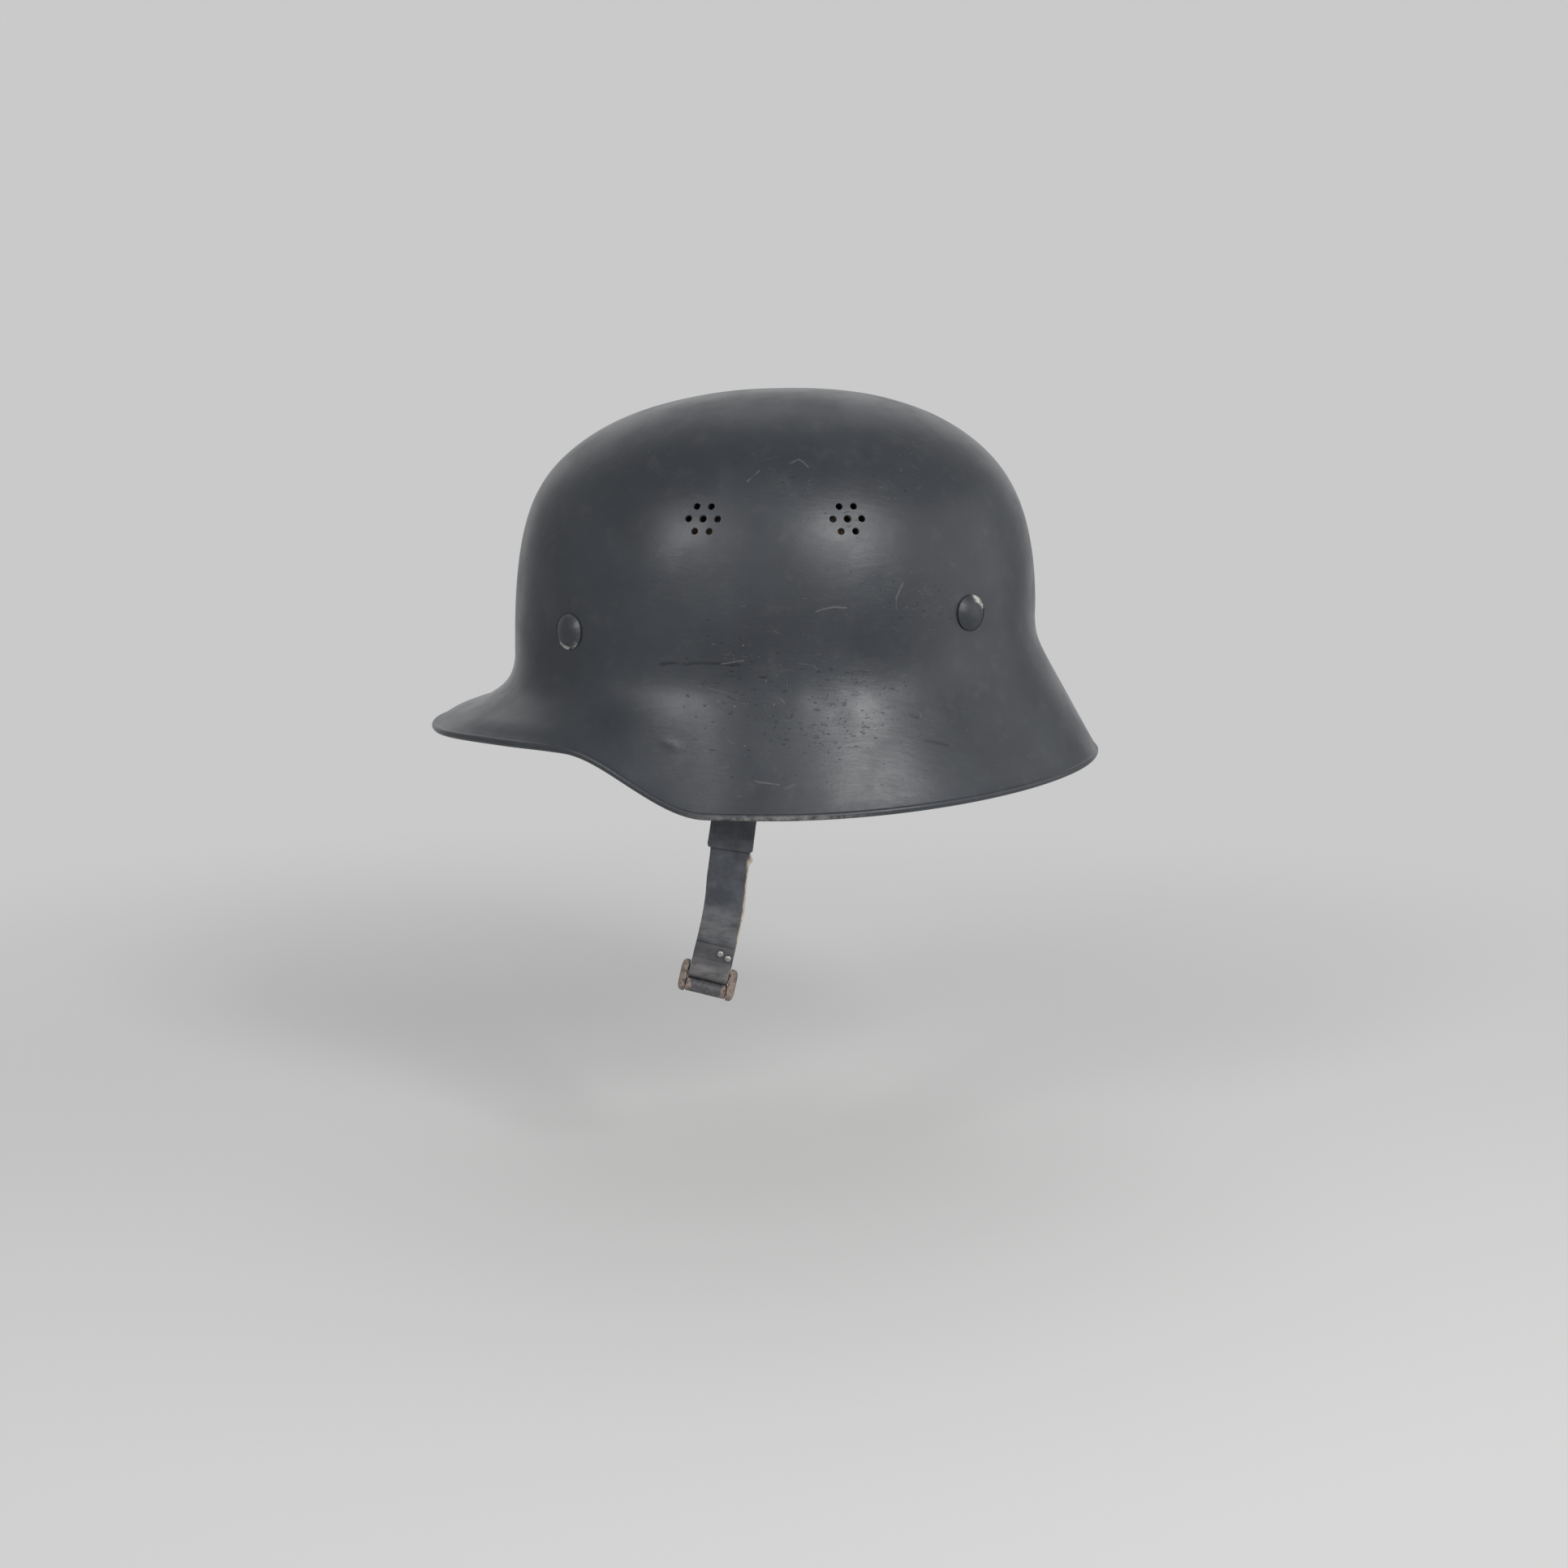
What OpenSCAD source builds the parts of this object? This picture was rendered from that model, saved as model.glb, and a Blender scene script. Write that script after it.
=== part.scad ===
// Steel police helmet: pressed shell with a rolled rim, riveted liner and a two-part chin strap.
// The origin is the middle of the head opening, level with the lowest point of the rim.
// -Y is the front (the visor), +Y is the neck, +X is the wearer's left and +Z is up.

/* [Shell] */
// Length of the dome at its widest level, front to back
dome_length = 220.5; // [212:0.5:230]
// Width of the dome at its widest level, side to side
dome_width = 188; // [180:0.5:196]
// Height of the crown above the lowest point of the rim
crown_height = 161.5; // [156:0.5:168]
// How far the top of the crown lies behind the middle of the dome
crown_setback = 2; // [0:0.5:4]
// Fullness of the dome's shoulder at the front, where 2 is an ellipse
swell_front = 2.3; // [2.2:0.05:2.7]
// Fullness of the dome's shoulder at the rear, where 2 is an ellipse
swell_rear = 2.9; // [2.5:0.05:3]
// Flatness of the crown towards the front, where 2 is an ellipse
crown_front = 3.3; // [2.8:0.05:3.4]
// Flatness of the crown towards the rear, where 2 is an ellipse
crown_rear = 2.15; // [2.1:0.05:2.6]
// Thickness of the steel sheet
sheet = 1.2; // [1:0.1:1.5]

/* [Skirt and visor] */
// Height of the crease over the visor
crease_front = 37; // [35:0.5:40]
// Height of the crease over the ears
crease_side = 47; // [44:0.5:49]
// Height of the crease over the neck
crease_rear = 60; // [56:0.5:62]
// Softness of the crease over the visor
bend_front = 4.5; // [3.5:0.1:5]
// Softness of the crease over the ears
bend_side = 5; // [4:0.1:5.5]
// Softness of the crease over the neck
bend_rear = 3; // [2.5:0.1:4]
// How far the visor's edge stands out from the dome
visor_reach = 36; // [30:0.5:40]
// How far the rim stands out from the dome at the ears
ear_reach = 21; // [18:0.5:24]
// How far the neck guard's edge stands out from the dome
neck_reach = 28; // [24:0.5:32]
// How quickly the visor narrows towards the temples
visor_taper = 3.4; // [2.5:0.1:4.5]
// Height of the visor's edge above the lowest point of the rim
visor_height = 22; // [17:0.5:25]
// Height of the neck guard's edge above the lowest point of the rim
neck_height = 10.5; // [6:0.5:14]
// Where the rim starts to drop at the temple, measured forward from the middle
temple_front = 83; // [78:0.5:88]
// Where the rim has dropped to ear level, measured forward from the middle
temple_rear = 26.5; // [22:0.5:32]
// Radius of the rolled rim
rim_roll = 1.5; // [1.3:0.1:1.8]
// How far the rolled rim stands out of the skirt's surface
rim_lip = 0.5; // [0.3:0.1:0.7]

/* [Vents] */
// Height of the vent clusters above the lowest point of the rim
vent_height = 113; // [106:0.5:118]
// Distance between the two vent clusters of one side
vent_spacing = 56.5; // [48:0.5:64]
// How far the pair of clusters lies behind the middle of the dome
vent_setback = 0.5; // [-3:0.5:4]
// Distance from a cluster's middle hole to the six round it
vent_ring = 5.8; // [5:0.1:7]
// Diameter of a vent hole
vent_hole = 2.4; // [2:0.1:3]

/* [Liner] */
// Height of the liner's bands above the lowest point of the rim
liner_height = 71; // [69:0.5:73]
// Upward tilt of the liner towards the neck, in degrees
liner_tilt = 2.8; // [2:0.1:3.4]
// Gap between the shell and the outer band
band_gap = 3; // [2.6:0.1:3.4]
// Thickness of both bands
band_sheet = 1; // [0.8:0.1:1.2]
// Height of the outer band
outer_band_height = 26; // [22:0.5:28]
// Gap between the outer and the inner band
spring_gap = 4.4; // [4:0.1:5]
// Height of the inner band
inner_band_height = 19.7; // [18:0.1:21]
// Height of the spring loops between the bands
spring_height = 7; // [5:0.5:8]
// Thickness of the spring loops
spring_sheet = 0.5; // [0.4:0.1:0.7]
// Thickness of the felt ring
felt = 3; // [2:0.1:4]
// Thickness of the liner's leather
leather = 1.6; // [1.4:0.1:1.8]
// How far the leather hangs below the middle of the outer band
leather_drop = 20.6; // [20:0.1:21.6]
// How far the leather's upright wall stands above the middle of the outer band
leather_rise = 9; // [7:0.5:11]
// Height of the leather that is folded up outside the inner band
fold_height = 12.6; // [11.5:0.1:13]
// Number of leather fingers in the crown
finger_count = 8; // [6:1:10]
// Height of the fingers' dome above the leather's upright wall
finger_dome = 62; // [56:0.5:66]
// How far up their dome the fingers reach, in degrees
finger_end = 74; // [72:0.5:76]
// Share of its sector that a finger fills at its root
finger_root = 0.94; // [0.88:0.01:0.96]
// Share of its sector that a finger fills at its tip
finger_tip = 0.74; // [0.7:0.01:0.78]
// Diameter of the drawstring
cord = 1.8; // [1.4:0.1:2]
// Diameter of a drawstring hole
cord_hole = 7.4; // [7.2:0.1:8]
// Diameter of a finger's air holes
air_hole = 4.5; // [3:0.5:6]

/* [Rivets] */
// Angle of the front liner rivets, from the front
rivet_front = 42; // [38:0.5:46]
// Angle of the rear liner rivets, from the front
rivet_rear = 135; // [130:0.5:138]
// Diameter of a liner rivet's domed head
rivet_head = 14.5; // [13:0.5:16]
// Height of a liner rivet's domed head
rivet_dome = 2.6; // [2:0.1:3.2]
// Diameter of a liner rivet's shank
rivet_shank = 4.6; // [4:0.1:5]
// Width of a spacer washer's outside
spacer_width = 9; // [8:0.5:9.5]
// Diameter of the small rivet shanks
pin = 1.8; // [1.6:0.1:2]
// Diameter of the small rivet heads
pin_head = 4.2; // [3.6:0.1:4.6]
// Diameter of the buckle strap's rivet shanks
strap_pin = 1.4; // [1.2:0.1:1.6]
// Diameter of the buckle strap's rivet heads
strap_pin_head = 2.8; // [2.2:0.1:3]
// Number of rivets in the liner's leather
leather_rivet_count = 12; // [8:1:14]

/* [Strap bales] */
// How far ahead of the middle the bales sit
bale_forward = 12; // [8:0.5:18]
// Diameter of the bale's wire
bale_wire = 2.5; // [2.2:0.1:2.8]
// Distance between the bale's upright wires
bale_width = 24; // [23.4:0.1:26]
// Distance from the bale's pivot to its lower bar
bale_drop = 9; // [8.6:0.1:9.6]
// Corner radius of the bale's wire
bale_corner = 3; // [2.4:0.1:3.4]
// Thickness of the bracket
bracket_sheet = 1; // [0.8:0.1:1.2]
// Width of the bracket
bracket_width = 17; // [14:0.5:17.5]
// How far the bracket stands above the middle of the outer band
bracket_rise = 5; // [4:0.5:9]

/* [Chin strap] */
// Slant of the straps towards the front, in degrees from the bale
strap_slant = 10; // [7:0.2:12]
// Width of the straps
strap_width = 16; // [14:0.5:16.5]
// Thickness of the straps
strap_leather = 1.8; // [1.6:0.1:2]
// Distance from the bale's bar to the buckle's bar
strap_length = 105; // [94:1:110]
// Length of the punched strap from the bale's bar
punched_length = 142; // [120:1:150]
// Width of the doubled leather tab that hangs from each bale
tab_width = 18; // [17:0.5:19]
// Thickness of the tab's leather
tab_leather = 1.8; // [1.6:0.1:2]
// Length of the tab from the bale's bar
tab_length = 55.5; // [48:0.5:58]
// Length of strap that the tab covers
tab_cover = 36; // [30:0.5:40]
// Number of holes in the punched strap
hole_count = 5; // [3:1:6]
// Distance between the strap's holes
hole_spacing = 11; // [9:0.5:12]
// Diameter of the strap's holes
strap_hole = 2.8; // [2.4:0.1:3.2]

/* [Buckle] */
// Skew of the buckle against the strap, front end up, in degrees
buckle_skew = 5.5; // [0:0.5:7]
// Outside width of the buckle
buckle_width = 22.8; // [21.4:0.1:24]
// Distance from the buckle's bar to its roller's axle
buckle_reach = 6.5; // [6.3:0.1:7.4]
// Diameter of the buckle's bar and axle
buckle_bar = 2.2; // [2:0.1:2.4]
// Outside diameter of the roller
roller = 5.6; // [5:0.1:5.8]
// Thickness of the buckle's side cheeks from front to back
cheek = 6.4; // [6:0.1:7]
// Thickness of the prong
prong_sheet = 1.4; // [1.2:0.1:1.6]
// Width of the prong
prong_width = 2.4; // [2:0.1:2.8]

/* [Hidden] */
$fn = 48;

// Number of facets round the shell, down its dome and down its skirt
SHELL_TURNS = 72;
DOME_ROWS = 11;
SKIRT_ROWS = 11;
// Number of sides of the liner's ovals
OVAL_SIDES = 64;
// Clearance between leather, felt and bands that lie on each other
SNUG = 0.1;
// Clearance of a rivet's shank in its hole, of a spacer at the shell, and of a wire in leather
SHANK_CLEARANCE = 0.3;
SPACER_CLEARANCE = 0.6;
WIRE_CLEARANCE = 0.3;
// Radial clearance of a wire, axle or bar in the steel that turns on it
RUNNING = 0.06;
// How far a cut runs past the faces that it cuts
PAST = 1;

half_length = dome_length / 2;
half_width = dome_width / 2;

paint = [0.27, 0.28, 0.30];
worn_steel = [0.45, 0.44, 0.43];
zinc = [0.58, 0.59, 0.58];
liner_brown = [0.42, 0.27, 0.16];
felt_grey = [0.55, 0.52, 0.47];
cord_buff = [0.72, 0.66, 0.53];
strap_black = [0.13, 0.13, 0.14];
rusted = [0.36, 0.27, 0.21];

function unit(v) = v / norm(v);
function ease(from, to, x) =
  let (t = min(1, max(0, (x - from) / (to - from)))) t * t * (3 - 2 * t);
// Goes from the side's value to the front's or the rear's as the turn leaves the side
function by_turn(front, side, rear, turn) =
  side + ((cos(turn) > 0 ? front : rear) - side) * pow(cos(turn), 2);

// The shell's shape, where turn is the angle from the front towards the wearer's left.
function plan(turn) = [half_width * sin(turn), -half_length * cos(turn)];
function plan_normal(turn) = unit([sin(turn) / half_width, -cos(turn) / half_length]);
function swell(turn) = by_turn(swell_front, (swell_front + swell_rear) / 2, swell_rear, turn);
function flatness(turn) = by_turn(crown_front, (crown_front + crown_rear) / 2, crown_rear, turn);
function crease(turn) = by_turn(crease_front, crease_side, crease_rear, turn);
function bend(turn) = by_turn(bend_front, bend_side, bend_rear, turn);
function dome_foot(turn) = crease(turn) + 3 * bend(turn);
function reach(turn) = cos(turn) > 0
  ? ear_reach + (visor_reach - ear_reach) * pow(cos(turn), visor_taper)
  : ear_reach + (neck_reach - ear_reach) * pow(cos(turn), 2);
function rim_plan(turn) = plan(turn) + reach(turn) * plan_normal(turn);
function rim_height(y) = visor_height * (1 - ease(-temple_front, -temple_rear, y))
  + neck_height * pow(max(0, y) / (half_length + neck_reach), 1.7);

function dome_point(turn, fall) =
  let (out = pow(sin(fall), 2 / swell(turn)), up = pow(max(0, cos(fall)), 2 / flatness(turn)),
    foot = dome_foot(turn), p = plan(turn) * out)
  [p.x, p.y + crown_setback * up, foot + (crown_height - foot) * up];
// How far the skirt has swung out at a height, as a smooth bend at the crease
function flare(turn, z) = bend(turn) * ln(1 + exp((crease(turn) - z) / bend(turn)));
function skirt_point(turn, down) =
  let (rim = rim_plan(turn), low = rim_height(rim.y), foot = dome_foot(turn),
    z = foot + (low - foot) * down, start = flare(turn, foot),
    share = (flare(turn, z) - start) / (flare(turn, low) - start),
    p = plan(turn) + (rim - plan(turn)) * share)
  [p.x, p.y, z];
// Depth goes from 0 at the crown through 1 at the dome's foot to 2 at the rim
function shell_point(turn, depth) =
  depth < 1 ? dome_point(turn, 90 * depth) : skirt_point(turn, depth - 1);
function shell_fall(turn, depth) =
  shell_point(turn, min(2, depth + 0.01)) - shell_point(turn, max(0.01, depth - 0.01));
function shell_around(turn, depth) = shell_point(turn + 0.5, depth) - shell_point(turn - 0.5, depth);
function shell_normal(turn, depth) =
  depth == 0 ? [0, 0, 1] : unit(cross(shell_fall(turn, depth), shell_around(turn, depth)));

// The rolled rim is a bead whose middle lies inside and below the end of the skin.
bead_inset = rim_roll - rim_lip;
bead_start = acos(bead_inset / rim_roll);
bead_fall = rim_roll * sin(bead_start);
function skin_end(turn) =
  shell_point(turn, 2) - (bead_fall + rim_roll) * unit(shell_fall(turn, 2));
function bead_point(turn, angle) =
  let (out = shell_normal(turn, 2), down = unit(shell_fall(turn, 2)))
  skin_end(turn) - bead_inset * out + bead_fall * down
    + rim_roll * (cos(angle) * out + sin(angle) * down);

function shell_turns() = [for (i = [0 : SHELL_TURNS - 1]) 360 * i / SHELL_TURNS];
function skin_depths() = concat([for (i = [1 : DOME_ROWS]) i / DOME_ROWS],
  [for (i = [1 : SKIRT_ROWS - 1]) 1 + i / SKIRT_ROWS]);
function skin_ring(depth, inset) =
  [for (t = shell_turns()) shell_point(t, depth) - inset * shell_normal(t, depth)];
function backwards(list) = [for (i = [len(list) - 1 : -1 : 0]) list[i]];

// A solid whose surface runs from the first point through the rings to the last point.
module spun_skin(first, rings, last) {
  n = len(rings[0]);
  points = concat([first], [for (r = rings) each r], [last]);
  end = len(points) - 1;
  low = 1 + (len(rings) - 1) * n;
  polyhedron(points, concat(
    [for (j = [0 : n - 1]) [0, 1 + (j + 1) % n, 1 + j]],
    [for (i = [0 : len(rings) - 2], j = [0 : n - 1])
      let (a = 1 + i * n, k = (j + 1) % n) each [[a + j, a + k, a + n + k], [a + j, a + n + k, a + n + j]]],
    [for (j = [0 : n - 1]) [low + j, low + (j + 1) % n, end]]));
}

module shell_skin() {
  depths = skin_depths();
  spun_skin([0, crown_setback, crown_height],
    concat([for (d = depths) skin_ring(d, 0)],
      [[for (t = shell_turns()) skin_end(t)]],
      [for (a = [0 : 45 : 225]) [for (t = shell_turns()) bead_point(t, a)]],
      [for (d = backwards(depths)) skin_ring(d, sheet)]),
    [0, crown_setback, crown_height - sheet]);
}

// Puts its children at a point with their Z along a direction and their Y level.
module facing(point, direction) {
  translate(point)
    rotate([0, acos(direction.z), atan2(direction.y, direction.x)])
      children();
}

module both_sides() {
  children();
  mirror([1, 0, 0]) children();
}

// Places on the dome, found from their height.
function dome_share(turn, z) = (z - dome_foot(turn)) / (crown_height - dome_foot(turn));
function fall_at(turn, z) = acos(pow(dome_share(turn, z), flatness(turn) / 2));
function turn_at(y, z) =
  acos(-(y - crown_setback * dome_share(90, z)) / (half_length * pow(sin(fall_at(90, z)), 2 / swell(90))));
module on_dome(turn, z) {
  depth = fall_at(turn, z) / 90;
  facing(shell_point(turn, depth), shell_normal(turn, depth)) children();
}

module vent_cuts() {
  for (way = [-1, 1]) {
    on_dome(turn_at(vent_setback + way * vent_spacing / 2, vent_height), vent_height) {
      translate([0, 0, -sheet - PAST]) cylinder(d = vent_hole, h = sheet + 2 * PAST);
      for (a = [30 : 60 : 330])
        translate([vent_ring * cos(a), vent_ring * sin(a), -sheet - PAST])
          cylinder(d = vent_hole, h = sheet + 2 * PAST);
    }
  }
}

// Distances inward from the dome's widest outline to each layer of the liner.
outer_band_in = sheet + band_gap;
spring_in = outer_band_in + band_sheet;
inner_band_in = spring_in + spring_gap;
fold_in = inner_band_in - SNUG - leather;
felt_in = inner_band_in + band_sheet + SNUG;
leather_in = felt_in + felt + SNUG;
leather_middle = leather_in + leather / 2;
// Heights in the liner, from the middle of the outer band.
inner_band_low = -leather_drop + leather + SNUG;
inner_band_top = inner_band_low + inner_band_height;
fold_top = -leather_drop + fold_height;

module in_liner() {
  translate([0, 0, liner_height]) rotate([liner_tilt, 0, 0]) children();
}
function oval_point(inset, turn) =
  [(half_width - inset) * sin(turn), -(half_length - inset) * cos(turn), 0];
function oval_normal(inset, turn) =
  unit([sin(turn) / (half_width - inset), -cos(turn) / (half_length - inset), 0]);
module oval(inset) {
  polygon([for (i = [0 : OVAL_SIDES - 1])
    let (p = oval_point(inset, 360 * (i + 0.5) / OVAL_SIDES)) [p.x, p.y]]);
}
module oval_ring(inset, thick, low, top) {
  translate([0, 0, low])
    linear_extrude(top - low)
      difference() {
        oval(inset);
        oval(inset + thick);
      }
}
module on_oval(inset, turn, z) {
  facing(oval_point(inset, turn) + [0, 0, z], oval_normal(inset, turn)) children();
}

// Liner rivets: domed heads outside, split ends bent apart behind the outer band.
function rivet_height(turn) = liner_height - half_length * cos(turn) * tan(liner_tilt);
module at_rivet(turn) {
  on_dome(turn, rivet_height(turn)) children();
}
rivet_grip = sheet + band_gap + band_sheet;
// Gap from the band to a rivet's bent ends, and their thickness
SPLIT_GAP = 1;
SPLIT_SHEET = 0.8;
rivet_split = rivet_grip + SPLIT_GAP;
module rivet_holes() {
  both_sides()
    for (turn = [rivet_front, rivet_rear])
      at_rivet(turn)
        translate([0, 0, -rivet_split])
          cylinder(d = rivet_shank + 2 * SHANK_CLEARANCE, h = rivet_split + PAST);
}
module liner_rivet(turn) {
  curve = (pow(rivet_head / 2, 2) + pow(rivet_dome, 2)) / (2 * rivet_dome);
  color(paint) at_rivet(turn) translate([0, 0, SNUG / 2]) {
    intersection() {
      translate([0, 0, rivet_dome - curve]) sphere(curve, $fn = 96);
      cylinder(d = rivet_head + 2, h = rivet_dome + PAST);
    }
    translate([0, 0, -rivet_split - SPLIT_SHEET])
      cylinder(d = rivet_shank, h = rivet_split + SPLIT_SHEET + rivet_dome / 2);
    for (way = [-1, 1])
      translate([-rivet_shank / 4, way * rivet_shank - rivet_shank, -rivet_split - SPLIT_SHEET])
        cube([rivet_shank / 2, 2 * rivet_shank, SPLIT_SHEET]);
  }
}
module rivet_spacers() {
  color(zinc) both_sides()
    for (turn = [rivet_front, rivet_rear])
      at_rivet(turn)
        translate([0, 0, -sheet - band_gap + SPACER_CLEARANCE])
          difference() {
            cylinder(d = spacer_width, h = band_gap - 2 * SPACER_CLEARANCE);
            translate([0, 0, -PAST])
              cylinder(d = rivet_shank + 2 * SHANK_CLEARANCE, h = band_gap + 2 * PAST);
          }
}

module shell() {
  color(paint) difference() {
    shell_skin();
    both_sides() vent_cuts();
    rivet_holes();
  }
}

module outer_band() {
  color(zinc) difference() {
    in_liner() oval_ring(outer_band_in, band_sheet, -outer_band_height / 2, outer_band_height / 2);
    rivet_holes();
    bracket_holes();
  }
}

// Spring loops stand between the bands, clear of the rivets and the strap brackets.
spring_turns = [18, 62, 108, 160];
module band_springs() {
  loop = spring_gap / 2 - 2 * SNUG;
  color(zinc) both_sides() in_liner()
    for (turn = spring_turns)
      translate(oval_point(spring_in + spring_gap / 2, turn) + [0, 0, inner_band_top - spring_height])
        difference() {
          cylinder(r = loop, h = spring_height);
          translate([0, 0, -PAST]) cylinder(r = loop - spring_sheet, h = spring_height + 2 * PAST);
        }
}

// The small rivets of the leather go through the fold and the inner band.
leather_rivet_z = (inner_band_low + fold_top) / 2;
module at_leather_rivets() {
  in_liner()
    for (i = [0 : leather_rivet_count - 1])
      on_oval(fold_in, 360 * (i + 0.5) / leather_rivet_count, leather_rivet_z) children();
}
leather_rivet_grip = leather + SNUG + band_sheet;
module leather_rivet_holes() {
  at_leather_rivets()
    translate([0, 0, -leather_rivet_grip - SNUG])
      cylinder(d = pin + 2 * SNUG, h = leather_rivet_grip + PAST, $fn = 24);
}
module leather_rivets() {
  color(worn_steel) at_leather_rivets() small_rivet(leather_rivet_grip);
}
// A flat round head on the surface, and its shank down into the hole.
module small_rivet(grip) {
  translate([0, 0, SNUG / 2]) cylinder(d = pin_head, h = pin / 2, $fn = 24);
  translate([0, 0, -grip]) cylinder(d = pin, h = grip + pin / 2, $fn = 24);
}

module inner_band() {
  color(zinc) difference() {
    in_liner() oval_ring(inner_band_in, band_sheet, inner_band_low, inner_band_top);
    leather_rivet_holes();
  }
}

module felt_ring() {
  color(felt_grey) in_liner() oval_ring(felt_in, felt, inner_band_low + SNUG, inner_band_top);
}

// Crown leather: fingers that lie on one domed surface and end round the drawstring.
function crown_point(turn, climb, out) =
  let (w = half_width - leather_middle, l = half_length - leather_middle,
    p = [w * cos(climb) * sin(turn), -l * cos(climb) * cos(turn), finger_dome * sin(climb)],
    n = unit([p.x / (w * w), p.y / (l * l), p.z / (finger_dome * finger_dome)]))
  p + out * n + [0, 0, leather_rise];
FINGER_ROWS = 9;
FINGER_COLUMNS = 4;
// The fingers are skived thinner than the wall that they grow from, on both faces
SKIVING = 0.2;
finger_leather = leather - 2 * SKIVING;
half_sector = 180 / finger_count;
air_hole_climbs = [22, 40];
module finger(turn) {
  rings = [for (i = [0 : FINGER_ROWS])
    let (climb = -2 + (finger_end + 2) * i / FINGER_ROWS,
      half = half_sector * (finger_root + (finger_tip - finger_root) * i / FINGER_ROWS))
    concat(
      [for (j = [0 : FINGER_COLUMNS])
        crown_point(turn - half + 2 * half * j / FINGER_COLUMNS, climb, finger_leather / 2)],
      [for (j = [FINGER_COLUMNS : -1 : 0])
        crown_point(turn - half + 2 * half * j / FINGER_COLUMNS, climb, -finger_leather / 2)])];
  strip(rings);
}
// A solid from a list of flat loops, each the outer side one way and the inner side back.
module strip(rings) {
  n = len(rings[0]);
  last = (len(rings) - 1) * n;
  polyhedron([for (r = rings) each r], concat(
    [for (i = [0 : len(rings) - 2], j = [0 : n - 1])
      let (a = i * n, k = (j + 1) % n) each [[a + j, a + n + k, a + k], [a + j, a + n + j, a + n + k]]],
    [for (j = [0 : n / 2 - 2]) each
      [[j, j + 1, n - 2 - j], [j, n - 2 - j, n - 1 - j]]],
    [for (j = [0 : n / 2 - 2]) each
      [[last + j, last + n - 2 - j, last + j + 1], [last + j, last + n - 1 - j, last + n - 2 - j]]]));
}
function finger_turns() = [for (i = [0 : finger_count - 1]) half_sector * (2 * i + 1)];
// How far below the fingers' tips the drawstring runs, in degrees of their dome
CORD_DROP = 8;
cord_climb = finger_end - CORD_DROP;
module on_crown(turn, climb) {
  p = crown_point(turn, climb, 0);
  facing(p, unit(crown_point(turn, climb, 1) - p)) children();
}
module finger_holes(turn) {
  on_crown(turn, cord_climb) cylinder(d = cord_hole, h = 4 * leather, center = true, $fn = 24);
  for (climb = air_hole_climbs, side = [-1, 1])
    on_crown(turn + side * half_sector / 3, climb)
      cylinder(d = air_hole, h = 4 * leather, center = true, $fn = 24);
}
module leather_liner() {
  wall = leather_in + leather - fold_in;
  color(liner_brown) difference() {
    in_liner() {
      oval_ring(leather_in, leather, -leather_drop, leather_rise);
      oval_ring(fold_in, wall, -leather_drop, -leather_drop + leather);
      oval_ring(fold_in, leather, -leather_drop, fold_top);
      for (turn = finger_turns())
        difference() {
          finger(turn);
          finger_holes(turn);
        }
    }
    leather_rivet_holes();
  }
}

// The drawstring weaves out through each finger's hole and back in between the fingers.
CORD_STEPS = 9;
CORD_SIDES = 6;
cord_swing = leather / 2 + cord / 2 + 2 * WIRE_CLEARANCE;
function cord_point(turn) =
  crown_point(turn, cord_climb, cord_swing * sin(finger_count * (turn - half_sector)));
module drawstring() {
  steps = CORD_STEPS * finger_count;
  rings = [for (i = [0 : steps - 1])
    let (turn = 360 * i / steps, p = cord_point(turn),
      along = unit(cord_point(turn + 1) - cord_point(turn - 1)),
      out = unit(crown_point(turn, cord_climb, 1) - crown_point(turn, cord_climb, 0)),
      across = unit(cross(along, out)), up = cross(across, along))
    [for (j = [0 : CORD_SIDES - 1])
      p + cord / 2 * (cos(360 * j / CORD_SIDES) * across + sin(360 * j / CORD_SIDES) * up)]];
  color(cord_buff) in_liner()
    polyhedron([for (r = rings) each r],
      [for (i = [0 : steps - 1], j = [0 : CORD_SIDES - 1])
        let (a = i * CORD_SIDES, b = ((i + 1) % steps) * CORD_SIDES, k = (j + 1) % CORD_SIDES)
        each [[a + j, a + k, b + k], [a + j, b + k, b + j]]]);
}

// Strap brackets: each is a plate on the outer band whose lower end is rolled round the bale.
bale_turn = acos(bale_forward / (half_length - outer_band_in));
knuckle_bore = bale_wire / 2 + RUNNING;
knuckle_out = knuckle_bore + bracket_sheet;
bale_x = SNUG / 2 + bracket_sheet - knuckle_out;
bale_z = -leather_drop - knuckle_out - 1;
// Local frame of a bale: X out of the band, Y to the rear, Z up, at the middle of the outer band.
module at_bracket() {
  in_liner()
    translate(oval_point(outer_band_in, bale_turn))
      rotate([0, 0, atan2(oval_normal(outer_band_in, bale_turn).y, oval_normal(outer_band_in, bale_turn).x)])
        children();
}
module at_bale() {
  at_bracket() translate([bale_x, 0, bale_z]) children();
}
module rod(radius, length) {
  rotate([90, 0, 0]) cylinder(r = radius, h = length, center = true);
}
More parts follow.
